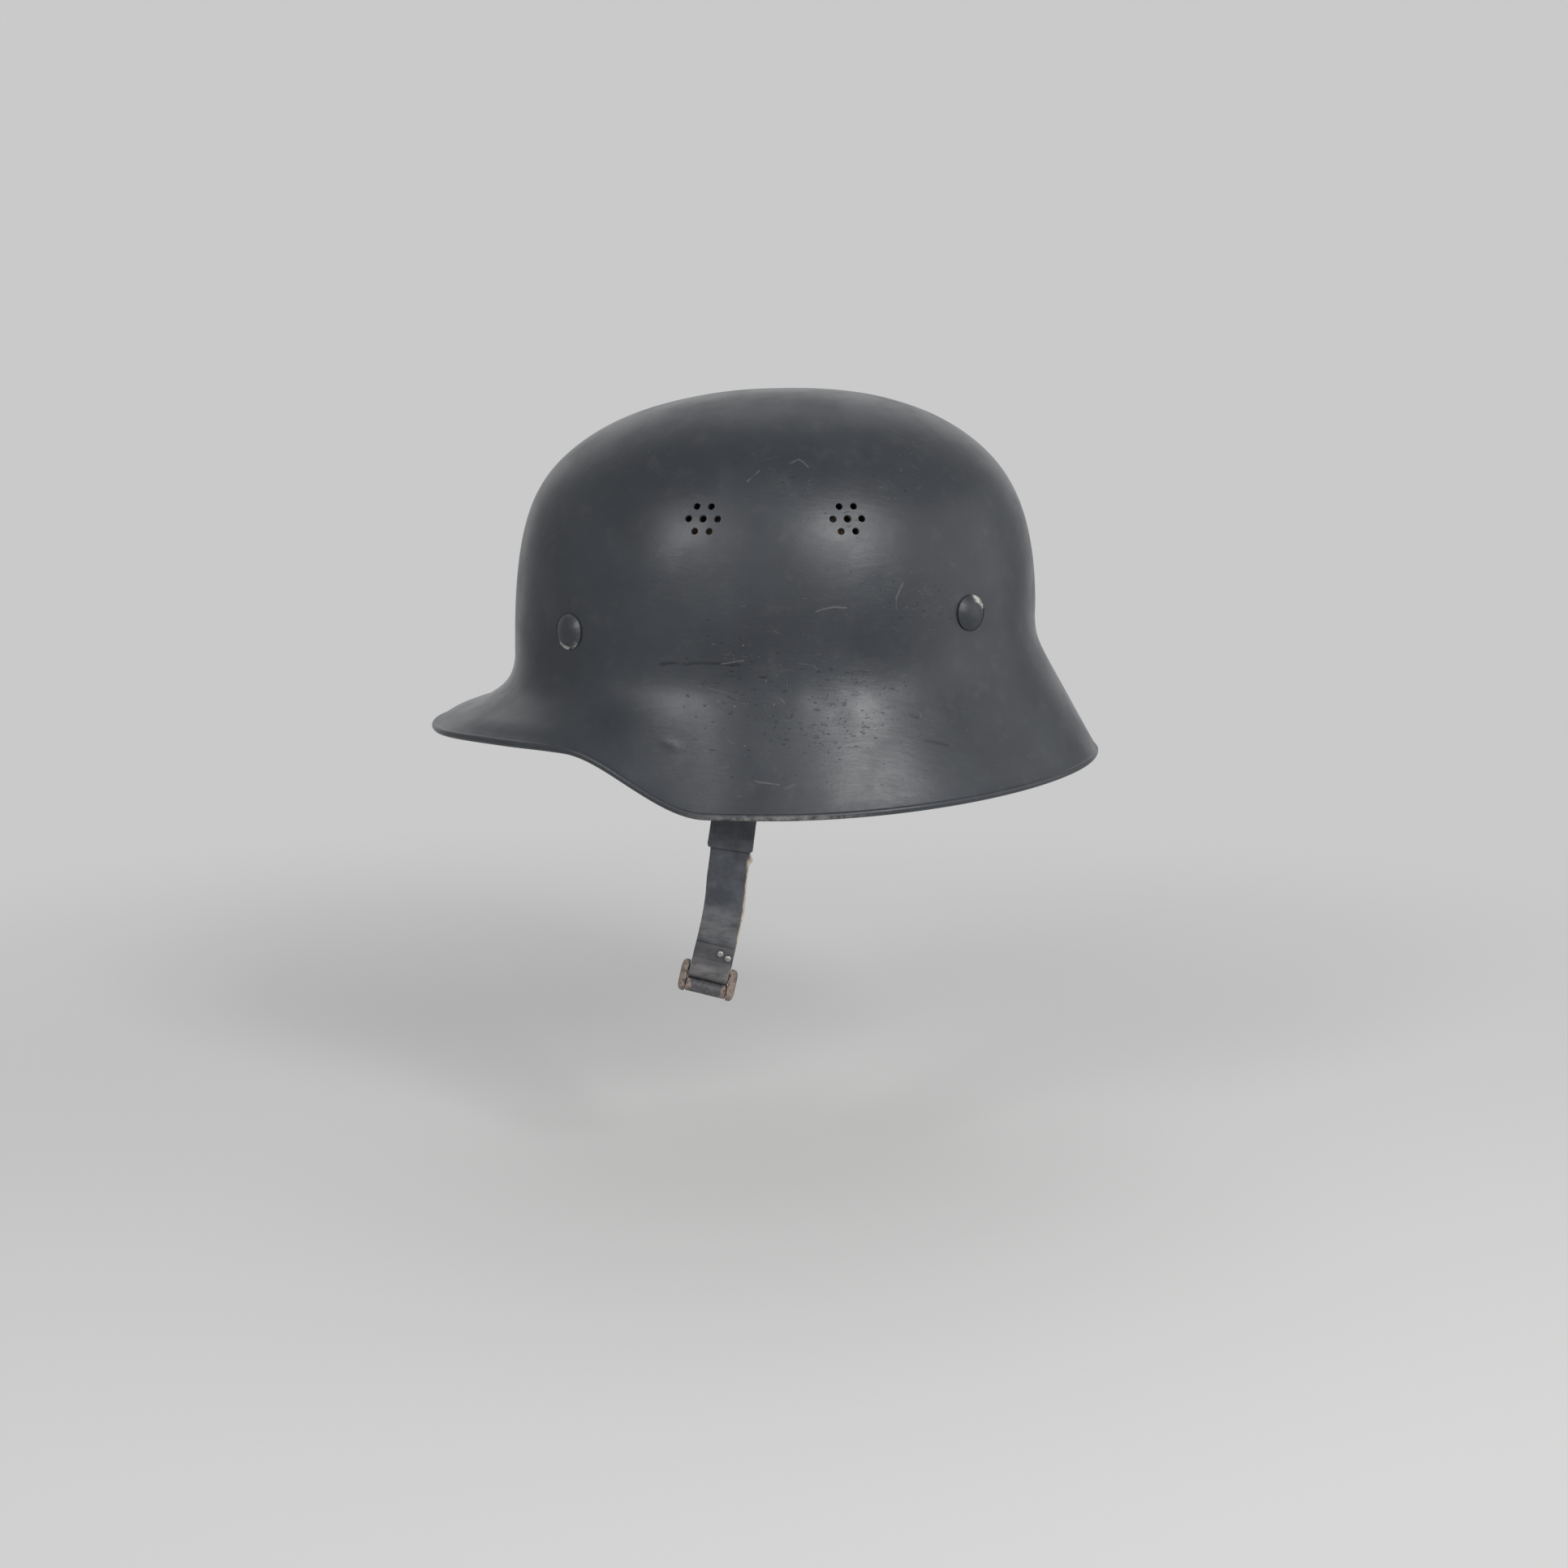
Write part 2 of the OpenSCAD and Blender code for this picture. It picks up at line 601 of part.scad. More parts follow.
// Margin of leather or steel round a small rivet's head
RIVET_MARGIN = 0.8;
bracket_rivet_y = bracket_width / 2 - pin_head / 2 - RIVET_MARGIN;
module at_bracket_rivets() {
  at_bracket()
    for (way = [-1, 1])
      translate([SNUG / 2 + bracket_sheet, way * bracket_rivet_y, 0])
        rotate([0, 90, 0]) children();
}
bracket_rivet_grip = bracket_sheet + SNUG + band_sheet;
module bracket_holes() {
  both_sides() at_bracket_rivets()
    translate([0, 0, -bracket_rivet_grip - PAST])
      cylinder(d = pin + 2 * SNUG, h = bracket_rivet_grip + 2 * PAST, $fn = 24);
}
module bracket() {
  color(zinc) difference() {
    union() {
      at_bracket()
        translate([SNUG / 2, -bracket_width / 2, bale_z])
          cube([bracket_sheet, bracket_width, bracket_rise - bale_z]);
      at_bale() rod(knuckle_out, bracket_width);
    }
    at_bale() rod(knuckle_bore, bracket_width + 2 * PAST);
    bracket_holes();
  }
}
module bracket_rivets() {
  color(worn_steel) both_sides() at_bracket_rivets() small_rivet(bracket_rivet_grip);
}

// The bale is a closed rectangular loop of wire.
module bale() {
  r = bale_wire / 2;
  y = bale_width / 2 - bale_corner;
  color(worn_steel) at_bale() {
    for (z = [0, -bale_drop])
      translate([0, 0, z]) rod(r, 2 * y);
    for (way = [-1, 1])
      translate([0, way * bale_width / 2, -bale_drop + bale_corner])
        cylinder(r = r, h = bale_drop - 2 * bale_corner);
    for (turn = [0 : 90 : 270])
      translate([0, (turn < 180 ? 1 : -1) * y, turn == 0 || turn == 270 ? -bale_corner : bale_corner - bale_drop])
        rotate([0, 90, 0])
          rotate([0, 0, turn == 0 ? 90 : turn == 90 ? 0 : turn == 180 ? 270 : 180])
            rotate_extrude(angle = 90) translate([bale_corner, 0]) circle(r);
  }
}

// Local frame of a strap: the bale's bar is at the origin and the strap hangs along -Z.
module at_strap() {
  at_bale() translate([0, 0, -bale_drop]) rotate([-strap_slant, 0, 0]) children();
}
tab_bore = bale_wire / 2 + WIRE_CLEARANCE;
tab_out = tab_bore + tab_leather;
strap_start = tab_length - tab_cover;
// How far below the strap's upper end the tab's rivets sit
TAB_RIVET_DROP = 8;
tab_rivet_drop = strap_start + TAB_RIVET_DROP;
module at_tab_rivets() {
  at_strap()
    for (way = [-1, 1])
      translate([tab_out, way * strap_width / 4, -tab_rivet_drop])
        rotate([0, 90, 0]) children();
}
module tab_rivet_holes() {
  at_tab_rivets()
    translate([0, 0, -2 * tab_out - PAST])
      cylinder(d = pin + 2 * SNUG, h = 2 * tab_out + 2 * PAST, $fn = 24);
}
module tab() {
  color(strap_black) difference() {
    union() {
      at_bale() translate([0, 0, -bale_drop]) rod(tab_out, tab_width);
      at_strap()
        for (x = [tab_bore - SNUG / 2, SNUG / 2 - tab_out])
          translate([x, -tab_width / 2, -tab_length]) cube([tab_leather, tab_width, tab_length]);
    }
    at_bale() translate([0, 0, -bale_drop]) rod(tab_bore, tab_width + 2 * PAST);
    tab_rivet_holes();
  }
}
module tab_rivets() {
  color(worn_steel) at_tab_rivets() {
    small_rivet(2 * tab_out + SNUG);
    translate([0, 0, -2 * tab_out - SNUG / 2 - pin / 2]) cylinder(d = pin_head, h = pin / 2, $fn = 24);
  }
}

// The buckle strap: its lower end goes round the buckle's bar and back up the outer side.
loop_bore = buckle_bar / 2 + WIRE_CLEARANCE;
loop_out = loop_bore + strap_leather;
strap_face = strap_leather / 2;
// The looped end stands a hair proud of the strap's straight part, on its inner face
bar_x = loop_bore + strap_face - SNUG / 2;
// Heights above the bar at which the returning leather meets the strap, and at which it ends
return_rise = 5;
return_length = 11.2;
// Height of the strap's sideways bend, and how far its two halves overlap there to each side
bend_rise = 22;
BEND_LAP = 2;
// Clearance of the prong at each side of its slot, the slot's height and the wall of the prong's eye
PRONG_CLEARANCE = 0.9;
slot_width = prong_width + 2 * PRONG_CLEARANCE;
slot_rise = 3.4;
EYE_WALL = 0.8;
eye_out = buckle_bar / 2 + RUNNING + EYE_WALL;
// Places of the strap's two rivets, from the strap's rear edge and from the buckle's bar
strap_rivet_in = [5.4, 2.1];
strap_rivet_rise = [8.4, 7.2];
// The strap's lower end bends sideways by the buckle's skew
module at_buckle() {
  at_strap()
    translate([bar_x, 0, bend_rise - strap_length])
      rotate([-buckle_skew, 0, 0])
        translate([0, 0, -bend_rise]) children();
}
module at_strap_rivets() {
  at_buckle()
    for (i = [0, 1])
      translate([strap_leather - loop_bore, strap_width / 2 - strap_rivet_in[i], strap_rivet_rise[i]])
        rotate([0, 90, 0]) children();
}
// Side view of the buckle end, with the buckle's bar at the origin, X outward and Y up.
module buckle_loop_side() {
  difference() {
    union() {
      circle(loop_out);
      translate([-loop_out, 0]) square([strap_leather, bend_rise + BEND_LAP]);
      polygon([[loop_out, 0], [loop_bore, 0], [-loop_bore, return_rise],
        [strap_leather - loop_bore, return_rise]]);
      translate([-loop_bore - SNUG, return_rise - 0.01])
        square([strap_leather + SNUG, return_length - return_rise]);
    }
    circle(loop_bore);
  }
}
// The slot lets the prong's eye turn on the bar and its blade come out below and on the inner side.
module prong_slot() {
  rod(eye_out + SNUG, slot_width);
  translate([-loop_out - PAST, -slot_width / 2, -loop_out - PAST])
    cube([loop_out + PAST, slot_width, loop_out + PAST]);
  translate([-loop_out - PAST, -slot_width / 2, -SNUG])
    cube([loop_out + PAST - SNUG, slot_width, slot_rise + SNUG]);
}
module strap_left() {
  color(strap_black) difference() {
    union() {
      at_strap()
        translate([-strap_face, -strap_width / 2, bend_rise - BEND_LAP - strap_length])
          cube([strap_leather, strap_width, strap_length - strap_start - bend_rise + BEND_LAP]);
      at_buckle()
        rotate([90, 0, 0])
          linear_extrude(strap_width, center = true) buckle_loop_side();
    }
    at_buckle() prong_slot();
    tab_rivet_holes();
    at_strap_rivets()
      translate([0, 0, -2 * strap_leather - PAST])
        cylinder(d = strap_pin + 2 * SNUG, h = 2 * strap_leather + 2 * PAST, $fn = 24);
  }
}
module strap_rivets() {
  color(worn_steel) at_strap_rivets() {
    translate([0, 0, SNUG / 2]) cylinder(d = strap_pin_head, h = strap_pin / 2, $fn = 24);
    translate([0, 0, -2 * strap_leather])
      cylinder(d = strap_pin, h = 2 * strap_leather + strap_pin / 2, $fn = 24);
  }
}

// The punched strap hangs from the other bale, with a pointed end.
module strap_right() {
  point = strap_width / 2;
  color(strap_black) difference() {
    at_strap()
      translate([-strap_face, 0, 0])
        rotate([90, 0, 90])
          linear_extrude(strap_leather)
            difference() {
              polygon([[-point, -strap_start], [point, -strap_start], [point, point - punched_length],
                [0.3 * point, -punched_length], [-0.3 * point, -punched_length], [-point, point - punched_length]]);
              for (i = [0 : hole_count - 1])
                translate([0, strap_width - punched_length + i * hole_spacing]) circle(d = strap_hole);
            }
    tab_rivet_holes();
  }
}

// The buckle: two cheeks joined by the bar that holds the strap and the axle of the roller.
cheek_inside = strap_width / 2 + PRONG_CLEARANCE / 2;
module buckle_frame() {
  color(rusted) at_buckle() {
    for (way = [-1, 1])
      translate([0, way * (cheek_inside + buckle_width / 2) / 2, 0])
        rotate([90, 0, 0])
          linear_extrude(buckle_width / 2 - cheek_inside, center = true)
            union() {
              circle(d = cheek);
              translate([0, -buckle_reach]) circle(d = cheek);
              translate([-cheek / 2, -buckle_reach]) square([cheek, buckle_reach]);
            }
    for (z = [0, -buckle_reach])
      translate([0, 0, z]) rod(buckle_bar / 2, 2 * cheek_inside + 2 * SNUG);
  }
}
module buckle_roller() {
  color(paint) at_buckle()
    translate([0, 0, -buckle_reach])
      difference() {
        rod(roller / 2, 2 * cheek_inside - 2 * WIRE_CLEARANCE);
        rod(buckle_bar / 2 + RUNNING, 2 * cheek_inside + PAST);
      }
}
// The prong turns on the buckle's bar and rests on the inner side of the roller.
prong_lean = asin((roller / 2 + WIRE_CLEARANCE + prong_sheet - eye_out) / buckle_reach);
PRONG_OVERHANG = 2.4;
prong_length = buckle_reach + PRONG_OVERHANG;
module buckle_prong() {
  bore = buckle_bar / 2 + RUNNING;
  color(worn_steel) at_buckle() {
    difference() {
      union() {
        rod(eye_out, prong_width);
        rotate([0, prong_lean, 0])
          translate([-eye_out, -prong_width / 2, -prong_length])
            cube([prong_sheet, prong_width, prong_length]);
      }
      rod(bore, prong_width + PAST);
    }
  }
}

shell();
liner_rivet(rivet_front);  // rivet_front_left
mirror([1, 0, 0]) liner_rivet(rivet_front);  // rivet_front_right
liner_rivet(rivet_rear);  // rivet_rear_left
mirror([1, 0, 0]) liner_rivet(rivet_rear);  // rivet_rear_right
rivet_spacers();
outer_band();
band_springs();
inner_band();
felt_ring();
leather_liner();
leather_rivets();
drawstring();
bracket();  // bracket_left
mirror([1, 0, 0]) bracket();  // bracket_right
bracket_rivets();
bale();  // bale_left
mirror([1, 0, 0]) bale();  // bale_right
tab();  // tab_left
mirror([1, 0, 0]) tab();  // tab_right
tab_rivets();  // tab_rivets_left
mirror([1, 0, 0]) tab_rivets();  // tab_rivets_right
strap_left();
mirror([1, 0, 0]) strap_right();
strap_rivets();
buckle_frame();
buckle_roller();
buckle_prong();
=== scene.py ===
# %% [markdown]
# # A steel police helmet
#
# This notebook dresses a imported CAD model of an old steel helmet. The solids already have the right sizes
# and joints, so the work here is what the eye reads: worn satin paint, leather that has dried and cracked,
# rust on a buckle, and the small dents that make a pressing look like real sheet.
#
# The frame comes first. Every solid is in metres, the visor points along -Y, the neck along +Y, the
# wearer's left is +X and the rim's lowest level is Z = 0.

from math import acos, asin, atan2, cos, pi, radians, sin, sqrt, tan

import bmesh
import bpy
import numpy as np
from mathutils import Matrix, Vector


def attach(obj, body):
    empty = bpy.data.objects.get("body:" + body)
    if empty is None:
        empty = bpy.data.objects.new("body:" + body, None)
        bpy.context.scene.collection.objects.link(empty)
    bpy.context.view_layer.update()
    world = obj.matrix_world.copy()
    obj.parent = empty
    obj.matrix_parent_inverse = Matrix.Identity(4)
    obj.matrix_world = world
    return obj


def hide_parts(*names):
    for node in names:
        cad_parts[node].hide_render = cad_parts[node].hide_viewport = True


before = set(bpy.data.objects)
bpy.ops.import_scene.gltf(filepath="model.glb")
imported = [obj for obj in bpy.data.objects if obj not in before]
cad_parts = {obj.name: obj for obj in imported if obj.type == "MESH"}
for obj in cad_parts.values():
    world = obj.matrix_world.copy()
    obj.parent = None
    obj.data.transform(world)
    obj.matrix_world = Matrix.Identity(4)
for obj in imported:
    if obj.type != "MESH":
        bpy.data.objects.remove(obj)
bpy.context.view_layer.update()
MM, MM_PER_METRE = 0.001, 1000.0

# %% [markdown]
# ## Camera
#
# The picture was taken from the wearer's left, a little above the rim, from about a metre away. A camera
# that close bends the skirt's edge into a shallow bowl, so the distance matters as much as the angle. The
# lens is worked out from how many pixels one radian covers in a square frame of 1932 pixels.

# %% Camera
CAMERA_RISE = radians(9.74)
CAMERA_DISTANCE = 1.0
CAMERA_AIM = Vector((0.0, 0.004, -0.0055))
FRAME_PIXELS = 1932
PIXELS_PER_RADIAN = 2860
SENSOR = 36.0

camera_data = bpy.data.cameras.new("camera")
camera_data.sensor_width = SENSOR
camera_data.lens = SENSOR * PIXELS_PER_RADIAN / FRAME_PIXELS
camera = bpy.data.objects.new("camera", camera_data)
bpy.context.scene.collection.objects.link(camera)
back = Vector((cos(CAMERA_RISE), 0, sin(CAMERA_RISE)))
camera.location = CAMERA_AIM + CAMERA_DISTANCE * back
camera.rotation_euler = (-back).to_track_quat("-Z", "Y").to_euler()
bpy.context.scene.camera = camera
bpy.context.scene.view_settings.view_transform = "Standard"
print("lens", round(camera_data.lens, 2), "mm")

# %% [markdown]
# ## Light
#
# The paint is satin, so it shows lamps as broad, soft glows. There are two such glows side by side under
# the vents and two fainter ones on the skirt. Bouncing the line of sight off the shell at those places
# points to two softboxes, about thirty degrees ahead of and behind the camera and thirty degrees up.
#
# The rest comes from broad, weak panels that the camera doesn't see. The one behind the helmet matters
# most: at grazing angles the paint mirrors it, which draws the light edge round the dome. The world is a
# plain pale backdrop to the camera, and darker than that to the paint's reflections.

# %% World and lamps
BACKDROP = (0.585, 0.59, 0.585, 1.0)
REFLECTED, REFLECTED_LEVEL = (0.97, 0.985, 1.0, 1.0), 0.36
LAMP_AIM = Vector((0, 0, 0.07))
LAMPS = {
    "softbox_front": dict(azimuth=56, rise=26, distance=1.5, size=(0.40, 0.42), power=5.2),
    "softbox_rear": dict(azimuth=119, rise=27, distance=1.5, size=(0.40, 0.42), power=10.5),
    "softbox_top": dict(azimuth=-90, rise=62, distance=1.7, size=(1.2, 0.8), power=1.2),
    "panel_rear": dict(azimuth=172, rise=8, distance=1.7, size=(1.6, 1.4), power=7.5),
    "panel_behind": dict(azimuth=-90, rise=8, distance=1.5, size=(2.6, 1.4), power=6.0),
    "panel_behind_high": dict(azimuth=-90, rise=42, distance=1.5, size=(2.6, 0.8), power=1.9),
    "panel_beside_camera": dict(azimuth=90, rise=4, distance=1.9, size=(1.6, 0.9), power=0.7),
}

world = bpy.data.worlds.new("pale_backdrop")
bpy.context.scene.world = world
world.use_nodes = True
tree = world.node_tree
tree.nodes.clear()
path = tree.nodes.new("ShaderNodeLightPath")
seen = tree.nodes.new("ShaderNodeBackground")
seen.inputs["Color"].default_value = BACKDROP
mirrored = tree.nodes.new("ShaderNodeBackground")
mirrored.inputs["Color"].default_value = REFLECTED
mirrored.inputs["Strength"].default_value = REFLECTED_LEVEL
mix = tree.nodes.new("ShaderNodeMixShader")
out = tree.nodes.new("ShaderNodeOutputWorld")
tree.links.new(path.outputs["Is Camera Ray"], mix.inputs["Fac"])
tree.links.new(mirrored.outputs[0], mix.inputs[1])
tree.links.new(seen.outputs[0], mix.inputs[2])
tree.links.new(mix.outputs[0], out.inputs["Surface"])


def area_lamp(name, azimuth, rise, distance, size, power):
    """Adds an area lamp that faces the helmet. Azimuth 0 is the visor's side and 90 the camera's."""
    turn, up = radians(azimuth), radians(rise)
    away = Vector((sin(turn) * cos(up), -cos(turn) * cos(up), sin(up)))
    data = bpy.data.lights.new(name, "AREA")
    data.shape = "RECTANGLE"
    data.size, data.size_y = size
    data.energy = power
    lamp = bpy.data.objects.new(name, data)
    bpy.context.scene.collection.objects.link(lamp)
    lamp.location = LAMP_AIM + distance * away
    lamp.rotation_euler = (-away).to_track_quat("-Z", "Y").to_euler()
    lamp.visible_camera = False


for name, lamp in LAMPS.items():
    area_lamp(name, **lamp)
print("lamps:", len(LAMPS))

# %% [markdown]
# ## Shader arithmetic
#
# A worn finish is mostly sums and products of masks: a scratch shows where a fine noise is high *and* the
# wear is high. Wiring Math nodes by hand hides that, so one small class wraps a socket and lets Python's
# operators add the nodes. Anything that isn't plain arithmetic comes from one method that takes a node's
# type, its settings and what goes into its sockets.

# %% The socket class and the finish builder
class Wire:
    """An output socket of a shader node, with the arithmetic that a finish needs."""

    def __init__(self, finish, socket):
        self.finish, self.socket = finish, socket

    def _math(self, operation, *values):
        return self.finish.node("Math", {"operation": operation}, list(values))

    def __add__(self, other):
        return self._math("ADD", self, other)

    def __radd__(self, other):
        return self._math("ADD", other, self)

    def __sub__(self, other):
        return self._math("SUBTRACT", self, other)

    def __rsub__(self, other):
        return self._math("SUBTRACT", other, self)

    def __mul__(self, other):
        return self._math("MULTIPLY", self, other)

    def __rmul__(self, other):
        return self._math("MULTIPLY", other, self)

    def between(self, low, high):
        """0 below low, 1 above high, and smooth in between. It falls instead where low is the larger."""
        rising = low < high
        ends = (0.0, 1.0) if rising else (1.0, 0.0)
        return self.finish.node(
            "MapRange",
            {"interpolation_type": "SMOOTHSTEP"},
            {"Value": self, "From Min": min(low, high), "From Max": max(low, high),
             "To Min": ends[0], "To Max": ends[1]},
        )

    def either(self, other):
        """The larger of two masks, so that marks overlap without adding up."""
        return self._math("MAXIMUM", self, other)


class Finish:
    """A material in the making."""

    def __init__(self, name):
        self.material = bpy.data.materials.new(name)
        self.material.use_nodes = True
        self.tree = self.material.node_tree
        self.shader = self.tree.nodes["Principled BSDF"]
        self.place = self.node("TexCoord", {}, {}, "Object")

    def node(self, kind, settings=None, sockets=None, output=0):
        """Adds a shader node, with its settings and its sockets' values, and returns one of its outputs."""
        made = self.tree.nodes.new("ShaderNode" + kind)
        for key, value in (settings or {}).items():
            setattr(made, key, value)
        pairs = enumerate(sockets) if isinstance(sockets, list) else (sockets or {}).items()
        for key, value in pairs:
            self.feed(made.inputs[key], value)
        return Wire(self, made.outputs[output])

    def feed(self, socket, value):
        """Links a wire to a socket, or sets the socket's own number, vector or colour."""
        if isinstance(value, Wire):
            self.tree.links.new(value.socket, socket)
        elif isinstance(value, tuple) and len(value) == 3 and socket.type == "RGBA":
            socket.default_value = (*value, 1.0)
        else:
            socket.default_value = value

    def stretched(self, x, y, z):
        """The place with each axis scaled by its own factor, for streaks that run one way."""
        return self.node("VectorMath", {"operation": "MULTIPLY"}, [self.place, (x, y, z)])

    def noise(self, size_mm, detail=3.0, roughness=0.55, place=None, offset=0.0):
        """Fractal noise whose features are about size_mm across, from 0 to 1."""
        where = place or self.place
        if offset:
            where = self.node("VectorMath", {"operation": "ADD"}, [where, (offset, -offset, 0.7 * offset)])
        sockets = {"Vector": where, "Scale": MM_PER_METRE / size_mm, "Detail": detail, "Roughness": roughness}
        return self.node("TexNoise", {}, sockets)

    def cells(self, size_mm, feature="DISTANCE_TO_EDGE", place=None):
        """How far a point is from the edge of its cell, or with F1 from the cell's middle."""
        sockets = {"Vector": place or self.place, "Scale": MM_PER_METRE / size_mm}
        return self.node("TexVoronoi", {"feature": feature}, sockets)

    def off_line(self, start, end, place):
        """How far a place is, in metres, from the line between two points in millimetres."""
        a, b = np.array(start) * MM, np.array(end) * MM
        run = b - a
        off = self.node("VectorMath", {"operation": "SUBTRACT"}, [place, tuple(a)])
        share = self.node("VectorMath", {"operation": "DOT_PRODUCT"}, [off, tuple(run / (run @ run))], 1)
        share = self.node("Math", {"operation": "MULTIPLY", "use_clamp": True}, [share, 1.0])
        foot = self.node("VectorMath", {"operation": "SCALE"}, {0: tuple(run), 3: share})
        return self.node("VectorMath", {"operation": "DISTANCE"}, [off, foot], 1)

    def off_lines(self, lines, place):
        """How far a place is from the nearest of several lines."""
        away = self.off_line(*lines[0], place)
        for line in lines[1:]:
            away = self.node("Math", {"operation": "MINIMUM"}, [away, self.off_line(*line, place)])
        return away

    def mark(self, name):
        """A number that a mesh carries at each of its points, such as how worn it is there."""
        return self.node("Attribute", {"attribute_name": name}, {}, "Fac")

    def blend(self, share, low, high):
        """A colour that goes from low to high as the share goes from 0 to 1."""
        return self.node("Mix", {"data_type": "RGBA"}, {0: share, 6: low, 7: high}, 2)

    def set(self, **sockets):
        """Feeds the shader's own sockets, by name with _ for a space."""
        for key, value in sockets.items():
            self.feed(self.shader.inputs[key.replace("_", " ")], value)

    def relief(self, height, depth_mm):
        """A bump whose full height is depth_mm."""
        bump = self.node("Bump", {}, {"Height": height, "Distance": depth_mm * MM})
        self.feed(self.shader.inputs["Normal"], bump)


print("shader helpers ready")

# %% [markdown]
# ## Finishes
#
# The shell wears a dark slate paint that has gone satin with handling. Close up it isn't one colour: there
# are greasy patches, short level scuffs, pale and dark, where it rubbed against others on a shelf, hairline
# cracks, pits full of dirt, and chips that go down to a pale primer. The mesh carries a number called
# "wear" for how much of that shows at each point, and another called "rim_wear" for the rolled edge, where
# the paint is rubbed thin.
#
# Noise can't put a scratch where the real one is. So a finish can also be given lines: the distance to the
# nearest line, with a little noise added to the place, draws a thin mark that wavers as a real scratch
# does.

# %% Painted steel
PAINT_DEEP = (0.0255, 0.0290, 0.0355)
PAINT_LIGHT = (0.0355, 0.0398, 0.0475)
PAINT_DUST = (0.072, 0.074, 0.077)
PRIMER = (0.20, 0.20, 0.195)
DIRT = (0.012, 0.013, 0.016)
RUST = (0.085, 0.045, 0.025)
DULL_BARE, BRIGHT_BARE_AND_REFLECTION = (0.30, 0.29, 0.28), (0.60, 0.58, 0.54)
STRAY, STRAY_WAVES = 1.6 * MM, 180.0  # how far a drawn line wavers, and how often in a metre
PAINT_RELIEF = 0.06


def painted_steel(name, bare, scratches=(), nicks=()):
    """Worn slate paint, with pale scratches and dark nicks drawn along pairs of points."""
    f = Finish(name)
    wear, rim = f.mark("wear"), f.mark("rim_wear")
    tone = f.blend(f.noise(45, 3).between(0.35, 0.65), PAINT_DEEP, PAINT_LIGHT)
    tone = f.blend(f.noise(9, 5, 0.68, offset=0.3).between(0.50, 0.78) * 0.35, tone, PAINT_DUST)
    level = f.noise(1.3, 3, 0.6, place=f.stretched(1, 0.09, 1.25)).between(0.64, 0.78)
    level = level * f.noise(16, 2, offset=0.7).between(0.46, 0.66)
    dark_level = f.noise(1.6, 3, 0.6, place=f.stretched(1, 0.13, 1.3), offset=8.2).between(0.65, 0.76)
    dark_level = dark_level * f.noise(14, 2, offset=5.7).between(0.44, 0.62)
    hair = f.cells(23, place=f.stretched(1, 0.45, 1.6)).between(0.012, 0.003)
    hair = hair * f.noise(8, 3, offset=1.9).between(0.57, 0.62)
    chip = (f.noise(1.5, 3, 0.55, offset=2.3) + wear * 0.12).between(0.795, 0.825)
    pit = f.noise(1.9, 3, 0.55, place=f.stretched(1, 0.55, 1.2), offset=6.6)
    pit = (pit + wear * 0.15).between(0.765, 0.81)
    marks = (level * (0.08 + wear * 0.42)).either(hair * wear * 0.2).either(chip * 0.4)
    darks = (dark_level * (0.15 + wear * 0.75)).either(pit * 0.8)
    if scratches:
        wobble = f.node("TexNoise", {}, {"Vector": f.place, "Scale": STRAY_WAVES, "Detail": 2.0}, 1)
        centred = [wobble, (STRAY,) * 3, (-STRAY / 2,) * 3]
        wobble = f.node("VectorMath", {"operation": "MULTIPLY_ADD"}, centred)
        strayed = f.node("VectorMath", {"operation": "ADD"}, [f.place, wobble])
        marks = marks.either(f.off_lines(scratches, strayed).between(0.5 * MM, 0.1 * MM) * 0.3)
        darks = darks.either(f.off_lines(nicks, strayed).between(0.9 * MM, 0.3 * MM) * 0.9)
    # On the shell this rubs the bead bare. On the front left rivet head the same mark paints a reflection.
    rubbed_and_reflected = rim * f.noise(3.2, 5, 0.7, offset=0.9).between(0.34, 0.62)
    tone = f.blend(darks, tone, DIRT)
    tone = f.blend(marks, tone, PRIMER)
    tone = f.blend(rubbed_and_reflected, tone, bare)
    rust = rim * f.noise(2.4, 4, 0.6, offset=5.2).between(0.60, 0.67)
    tone = f.blend(rust * 0.7, tone, RUST)
    grease = f.noise(26, 4, 0.6, offset=4.0).between(0.38, 0.66)
    f.set(Base_Color=tone, Roughness=0.36 + grease * 0.09 + marks * 0.25 + rubbed_and_reflected * 0.10,
          Metallic=rubbed_and_reflected * 0.35)
    orange_peel = f.noise(1.5, 2) * 0.35 + f.noise(0.35, 2) * 0.20
    streaks = f.noise(2.6, 3, 0.6, place=f.stretched(1, 0.22, 1.1), offset=3.3)
    orange_peel = orange_peel + streaks * (0.7 + wear * 0.9)
    f.relief(orange_peel - chip * 0.4 - rubbed_and_reflected * 0.3 - pit * 0.9, PAINT_RELIEF)
    return f.material


# The heads' pale colour stands for bare chips and, on the front left head, for a painted reflection.
HEAD_PAINT = painted_steel("painted_fittings", BRIGHT_BARE_AND_REFLECTION)
print("finish:", HEAD_PAINT.name)

# %% [markdown]
# Metal parts that are not painted come in three kinds here: zinc-plated sheet for the liner's bands and
# brackets, handled bare steel for rivets and bales, and the buckle's rust with a few islands of black paint
# left on it.

# %% Plated, bare and rusted steel
def plain_steel(name, dark, light, tarnish, roughness):
    """Unpainted steel: mottled from dark to light, with tarnished stains and a fine brushed grain."""
    f = Finish(name)
    tone = f.blend(f.noise(5, 5, 0.65).between(0.36, 0.66), dark, light)
    stain = f.noise(3, 6, 0.7, offset=1.7).between(0.55, 0.72)
    tone = f.blend(stain * 0.65, tone, tarnish)
    brushed = f.noise(0.35, 2, 0.5, place=f.stretched(1, 1, 0.12))
    f.set(Base_Color=tone, Metallic=0.9 - stain * 0.55)
    f.set(Roughness=roughness + stain * 0.25 + brushed * 0.08)
    f.relief(brushed * 0.4 + stain * 0.5 + f.noise(0.8, 3) * 0.3, 0.03)
    return f.material


